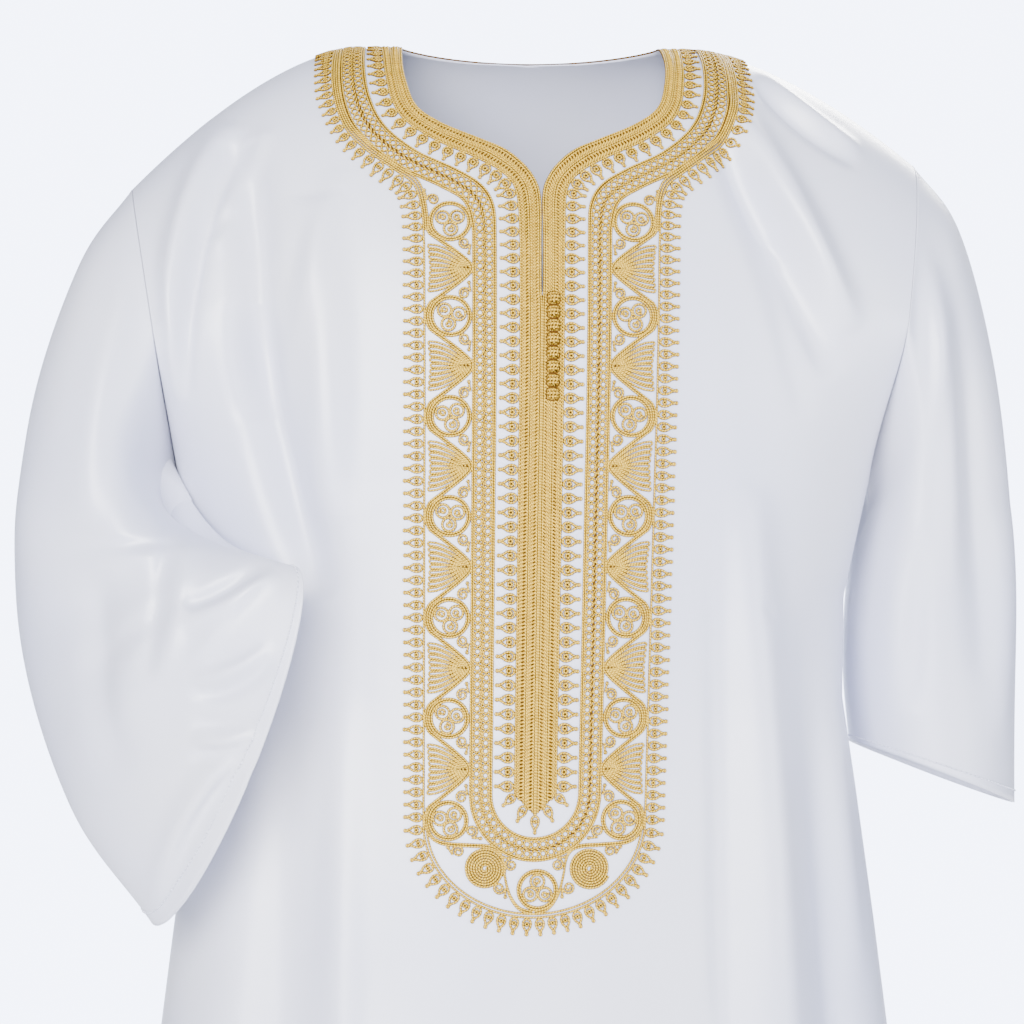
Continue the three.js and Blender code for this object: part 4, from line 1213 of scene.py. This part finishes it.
def add_curls(work, sign):
    """Curls in the corners beside the circles, and those that stand elsewhere."""
    curls = []
    for down in CIRCLE_DOWN:
        for way in (-1, 1):
            if (down, way) not in ((CIRCLE_DOWN[0], -1), (CIRCLE_DOWN[-1], 1)):
                centre = (CORNER_CURL["across"], down + way * CORNER_CURL["down"])
                tail = (CORNER_CURL["tail_across"], down + way * CORNER_CURL["tail_down"])
                curls.append((centre, tail, way))
    for centre, tail, way in curls + PANEL_CURLS:
        places = skewed(sign, np.array([centre, tail], float))
        add_curl(work, places[0], places[1], way * sign)


# Materials


def set_inputs(node, **values):
    """Values for a node's inputs, with an underscore for each space in an input's name."""
    for name, value in values.items():
        node.inputs[name.replace("_", " ")].default_value = value


class Shading:
    """A new material with its nodes, links and shader."""

    def __init__(self, name, **values):
        self.material = bpy.data.materials.new(name)
        self.material.use_nodes = True
        self.nodes = self.material.node_tree.nodes
        self.links = self.material.node_tree.links
        self.shader = self.nodes["Principled BSDF"]
        set_inputs(self.shader, **values)

    def add(self, kind, source=None, target="Vector", **values):
        """A new node with a socket linked to one of its inputs."""
        node = self.nodes.new(f"ShaderNode{kind}")
        set_inputs(node, **values)
        if source is not None:
            self.links.new(source, node.inputs[target])
        return node

    def maths(self, operation, first, second=None):
        """One sum of sockets or numbers."""
        node = self.nodes.new("ShaderNodeMath")
        node.operation = operation
        for socket, value in zip(node.inputs, (first, second)):
            if isinstance(value, (int, float)):
                socket.default_value = value
            elif value is not None:
                self.links.new(value, socket)
        return node.outputs["Value"]

    def colour(self, factor, stops):
        """The base colour from a ramp of positions and colours."""
        ramp = self.add("ValToRGB", factor, "Fac")
        elements = ramp.color_ramp.elements
        for element, (position, colour) in zip(elements, (stops[0], stops[-1])):
            element.position, element.color = position, (*colour, 1)
        for position, colour in stops[1:-1]:
            elements.new(position).color = (*colour, 1)
        self.links.new(ramp.outputs["Color"], self.shader.inputs["Base Color"])

    def surface(self, bump):
        self.links.new(bump.outputs["Normal"], self.shader.inputs["Normal"])


def satin_material():
    """Smooth satin: a slow change of tint, long fine threads and a soft unevenness."""
    satin = Shading("satin", **SATIN_SHADER)
    place = satin.add("TexCoord").outputs["Object"]
    satin.colour(satin.add("TexNoise", place, **SATIN_TINT).outputs["Fac"], SATIN_STOPS)
    stretched = satin.add("Mapping", place, Scale=THREAD_SCALE).outputs["Vector"]
    threads = satin.add("TexNoise", stretched, **THREAD_NOISE).outputs["Fac"]
    waves = satin.add("TexNoise", place, **UNEVEN_NOISE).outputs["Fac"]
    fine = satin.add("Bump", threads, "Height", **THREAD_BUMP)
    soft = satin.add("Bump", waves, "Height", **UNEVEN_BUMP)
    satin.links.new(fine.outputs["Normal"], soft.inputs["Normal"])
    satin.surface(soft)
    return satin.material


def cord_material():
    """Gold thread: a painted highlight on top of each cord and painted shade on its sides and
    between cords, with slanting strands.
    """
    gold = Shading("gold_cord", **CORD_SHADER)
    maths = gold.maths
    place = gold.add("TexCoord").outputs
    chart = gold.add("SeparateXYZ", place["UV"]).outputs
    # Painted shade and highlight: the height round each cord makes its top light, its sides and
    # underside dark
    height = maths("SINE", maths("MULTIPLY", chart["Y"], 2 * math.pi))
    strand = maths("SINE", maths("MULTIPLY", maths("ADD", chart["X"], chart["Y"]), 2 * math.pi))
    tone = gold.add("TexNoise", place["Object"], **CORD_NOISE).outputs["Fac"]
    shade = maths("ADD", maths("MULTIPLY", height, CORD_SHADE["height"]),
                  maths("MULTIPLY", strand, CORD_SHADE["strand"]))
    shade = maths("ADD", shade, maths("MULTIPLY", tone, CORD_SHADE["tone"]))
    gold.colour(maths("ADD", shade, CORD_SHADE["least"]), CORD_SHADE_STOPS)
    gold.surface(gold.add("Bump", strand, "Height", **CORD_BUMP))
    return gold.material


# The kaftan


def cloth_pieces(satin):
    coarse = 1
    front = panel_piece("satin_front", FRONT, FRONT_GRID, coarse, satin)
    back = panel_piece("satin_back", BACK, BACK_GRID, coarse, satin)
    left = sleeve_piece(
        "satin_left_sleeve", -1, LEFT_RINGS, LEFT_SLEEVE_FOLDS, LEFT_SLEEVE_CREASES,
        LEFT_SLEEVE_GRID, coarse, satin,
    )
    right = sleeve_piece(
        "satin_right_sleeve", 1, RIGHT_RINGS, RIGHT_SLEEVE_FOLDS, RIGHT_SLEEVE_CREASES,
        RIGHT_SLEEVE_GRID, coarse, satin,
    )
    for name, panel in (("front", FRONT), ("back", BACK)):
        down = np.full(HEM_STEPS, panel_end(panel) - HEM_STITCHES)
        across = np.linspace(-HEM_REACH, HEM_REACH, HEM_STEPS) * half_width(panel, down)
        stitch_piece(f"stitches_{name}_hem", *panel_points(panel, across, down), satin)
    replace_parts(front, "front_panel")
    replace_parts(back, "back_panel")
    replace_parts(left, "left_sleeve")
    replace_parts(right, "right_sleeve")
    return front, back, left, right


def trimmed_braid(share, sign):
    """A braid path that closes below the slit and stops at the placket's pointed end."""
    path = between("neck", "braid", share, stage_list(0, 2))
    below = smoothstep(path[:, 1], SLIT_END + CLOSING_FROM, SLIT_END + CLOSING_TO)
    path[:, 0] -= (1 - share) * PLACKET_CLOSING * below
    last_across = path[-1, 0]
    last_down = PLACKET_END - PLACKET_SLOPE * last_across
    path = path[path[:, 1] < last_down]
    return skewed(sign, np.vstack([path, [[last_across, last_down]]]))


def braid_piece(side, sign, gold):
    work = CordWork()
    add_braid(work, lambda share: evened(trimmed_braid(share, sign), BRAID_STEPS))
    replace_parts(work.piece(f"cord_{side}_braid", gold), f"{side}_braid")
    drops = CordWork()
    base = evened(between("braid", "braid_tips", INNER_ROOT, stage_list(0, 2)), DROP_LINE_STEPS)
    base = skewed(sign, base[base[:, 1] < PLACKET_END - PLACKET_SLOPE * BRAID_HALF])
    limit = route("mid_inner", "mid_outer", INNER_LIMIT, sign)
    drop_row(drops, base, limit, sign, **INNER_DROPS)
    for base, tip in PLACKET_DROPS:
        if sign * base[0] > 0 or (base[0] == 0 and sign > 0):
            places = skewed(1, np.array([base, tip], float))
            add_drop(drops, places[0], places[1], **PLACKET_DROP)
    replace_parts(drops.piece(f"cord_{side}_braid_drops", gold), f"{side}_braid_drops")


def mid_band_piece(gold):
    work = CordWork()
    add_ring_band(work, lambda share: whole_route("mid_inner", "mid_outer", share))
    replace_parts(work.piece("cord_mid_band", gold), "mid_band")


def outer_cord_pieces(gold):
    work = CordWork()
    work.add(resampled(whole_route("cord_inner", "cord_outer", OUTER_LINE)), OUTER_CORD)
    for sign in (-1, 1):
        for share, first, last, radius in OUTER_STRANDS:
            strand = route("cord_inner", "cord_outer", share, sign, first, last)
            work.add(resampled(strand), radius)
    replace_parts(work.piece("cord_outer", gold), "outer_cord")
    for side, sign in (("left", -1), ("right", 1)):
        drops = CordWork()
        base = route("cord_outer", "tips", OUTER_ROOT, sign)
        limit = route("cord_outer", "tips", 1.0, sign)
        drop_row(drops, base, limit, sign, **OUTER_DROPS)
        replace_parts(drops.piece(f"cord_{side}_outer_drops", gold), f"{side}_outer_drops")


def motif_pieces(gold):
    for side, sign in (("left", -1), ("right", 1)):
        work = CordWork()
        for down, first in zip(CIRCLE_DOWN, CIRCLE_TURNS[side]):
            radius = CIRCLE_RADIUS * (1 - PANEL_NARROWING * (down - SKEW_FROM))
            add_circle(work, skewed(sign, np.array([MOTIF_ACROSS, down])), radius, first)
        across = SPIRAL["across"] + sign * BOTTOM_SHIFT
        coil = spiral_path(
            skewed(sign, np.array([across, SPIRAL["down"]])), SPIRAL["outer"], SPIRAL["inner"],
            SPIRAL["turns"], SPIRAL["start"], sign, SPIRAL["steps"],
        )
        work.add(coil, SPIRAL["cord"])
        names = [f"{side}_circle_{i + 1}" for i in range(len(CIRCLE_DOWN))]
        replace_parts(work.piece(f"cord_{side}_circles", gold), *names, f"{side}_spiral")
        work = CordWork()
        for low, high in zip(CIRCLE_DOWN[:-1], CIRCLE_DOWN[1:]):
            add_fan(work, sign, (low + high) / 2)
        add_waves(work, sign)
        add_curls(work, sign)
        names = [f"{side}_fan_{i + 1}" for i in range(len(CIRCLE_DOWN) - 1)]
        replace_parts(work.piece(f"cord_{side}_fans", gold), *names)
    work = CordWork()
    middle = float(middle_at(BOTTOM_CIRCLE["middle_down"])) + BOTTOM_SHIFT
    centre = np.array([middle, BOTTOM_CIRCLE["down"]])
    add_circle(work, centre, CIRCLE_RADIUS * BOTTOM_CIRCLE["radius_share"], BOTTOM_CIRCLE["first"])
    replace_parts(work.piece("cord_bottom_circle", gold), "bottom_circle")


def back_pieces(gold):
    """The three bands carried round behind the neck."""
    work = CordWork(BACK)
    add_braid(work, lambda share: back_route("neck", "braid", share))
    limit = back_route("mid_inner", "mid_outer", INNER_LIMIT)
    drop_row(work, back_route("braid", "braid_tips", INNER_ROOT), limit, -1, **BACK_DROPS)
    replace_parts(work.piece("cord_back_braid", gold), "back_braid")
    work = CordWork(BACK)
    add_ring_band(work, lambda share: back_route("mid_inner", "mid_outer", share))
    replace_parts(work.piece("cord_back_mid_band", gold), "back_mid_band")
    work = CordWork(BACK)
    for share in BACK_STRANDS:
        work.add(resampled(back_route("cord_inner", "cord_outer", share)), OUTER_CORD)
    limit = back_route("cord_outer", "tips", 1)
    drop_row(work, back_route("cord_outer", "tips", OUTER_ROOT), limit, -1, **OUTER_DROPS)
    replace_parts(work.piece("cord_back_outer", gold), "back_outer_cord")


def full_turn(steps):
    """The cosines and sines of a whole turn, as two columns."""
    turn = np.linspace(0, 2 * math.pi, steps, endpoint=False)[:, None]
    return np.cos(turn), np.sin(turn)


def button_parts(centre, outward):
    """A ball of crossing cords on a sunk ring painted as dark shade, which sits on the braid."""
    across = unit(np.cross(outward, [0, 0, 1]))
    upward = np.cross(across, outward)
    parts = []
    cosine, sine = full_turn(BUTTON["steps"])
    for flat, other, crossing in ((across, upward, 1), (upward, across, -1)):
        for offset in BUTTON["offsets"]:
            reach = math.sqrt(BUTTON["ball"] ** 2 - offset**2) + crossing * BUTTON["crossing"]
            ring = reach * (cosine * flat + sine * outward * BUTTON["depth_share"])
            ring = centre + ring + offset * other
            parts.append(tube(ring, unit(ring - centre), BUTTON["cord"], True, CORD_SIDES))
    cosine, sine = full_turn(BUTTON["shade_ring_steps"])
    square = (cosine**4 + sine**4) ** -0.25 * BUTTON["shade_ring"]
    ring = centre - outward * BUTTON["sunk"] + square * (cosine * across + sine * upward)
    outwards = np.tile(outward, (BUTTON["shade_ring_steps"], 1))
    points, faces, _, uv_faces = tube(ring, outwards, BUTTON["shade_ring_cord"], True, THIN_SIDES)
    # The ring takes the cord underside's UV, so it is painted as dark shade
    parts.append((points, faces, np.array([[0, CORD_SHADED_UNDERSIDE]]), np.zeros_like(uv_faces)))
    return parts


def button_pieces(gold):
    for i in range(BUTTON["count"]):
        down = BUTTON["first_down"] + BUTTON["pitch"] * i
        place = skewed(1, np.array([float(BUTTON["across"]), float(down)]))
        parts = button_parts(*panel_points(FRONT, place[0], place[1], BUTTON["lift"]))
        piece = joined_piece(f"knot_{i + 1}", parts, gold)
        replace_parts(piece, f"knot_button_{i + 1}")


# Stage


def add_light(name, place, size, power, colour):
    data = bpy.data.lights.new(name, "AREA")
    data.size = size
    data.energy = power
    data.color = colour
    light = bpy.data.objects.new(name, data)
    bpy.context.scene.collection.objects.link(light)
    light.location = place
    light.rotation_euler = (Vector(LIGHT_AIM) - Vector(place)).to_track_quat("-Z", "Y").to_euler()


def stage():
    studio_world()
    floor_drop = -HEM_DROP * MM - FLOOR_GAP
    bpy.ops.mesh.primitive_plane_add(size=FLOOR_SIZE, location=(0, 0, floor_drop))
    floor = bpy.context.object
    floor.name = "floor"
    floor.data.materials.append(Shading("floor", **FLOOR_SHADER).material)
    for light in LIGHTS:
        add_light(*light)


def studio_world():
    """Even light all round, with a bright backdrop behind the front view."""
    world = bpy.data.worlds.new("studio")
    world.use_nodes = True
    nodes, links = world.node_tree.nodes, world.node_tree.links
    background = nodes["Background"]
    set_inputs(background, Color=WORLD_COLOUR)
    place = nodes.new("ShaderNodeTexCoord")
    facing = nodes.new("ShaderNodeVectorMath")
    facing.operation = "DOT_PRODUCT"
    facing.inputs[1].default_value = FORWARD
    links.new(place.outputs["Generated"], facing.inputs[0])
    strength = nodes.new("ShaderNodeMapRange")
    set_inputs(
        strength,
        From_Min=math.cos(math.radians(BACKDROP_FADE)),
        From_Max=math.cos(math.radians(BACKDROP_HALF)),
        To_Min=WORLD_LIGHT,
        To_Max=BACKDROP_LIGHT,
    )
    links.new(facing.outputs["Value"], strength.inputs["Value"])
    links.new(strength.outputs["Result"], background.inputs["Strength"])
    bpy.context.scene.world = world


def camera():
    data = bpy.data.cameras.new("camera")
    data.sensor_width = SENSOR
    data.lens = SENSOR * CAMERA_DISTANCE / VIEW_WIDTH
    data.clip_end = CAMERA_REACH
    view = bpy.data.objects.new("camera", data)
    bpy.context.scene.collection.objects.link(view)
    forward = Vector(FORWARD)
    view.location = (Vector(CAMERA_AIM) - forward * CAMERA_DISTANCE) * MM
    view.rotation_euler = forward.to_track_quat("-Z", "Y").to_euler()
    bpy.context.scene.camera = view


def build():
    camera()
    stage()
    satin, gold = satin_material(), cord_material()
    cloth = cloth_pieces(satin)
    for side, sign in (("left", -1), ("right", 1)):
        braid_piece(side, sign, gold)
    mid_band_piece(gold)
    outer_cord_pieces(gold)
    motif_pieces(gold)
    back_pieces(gold)
    button_pieces(gold)


build()
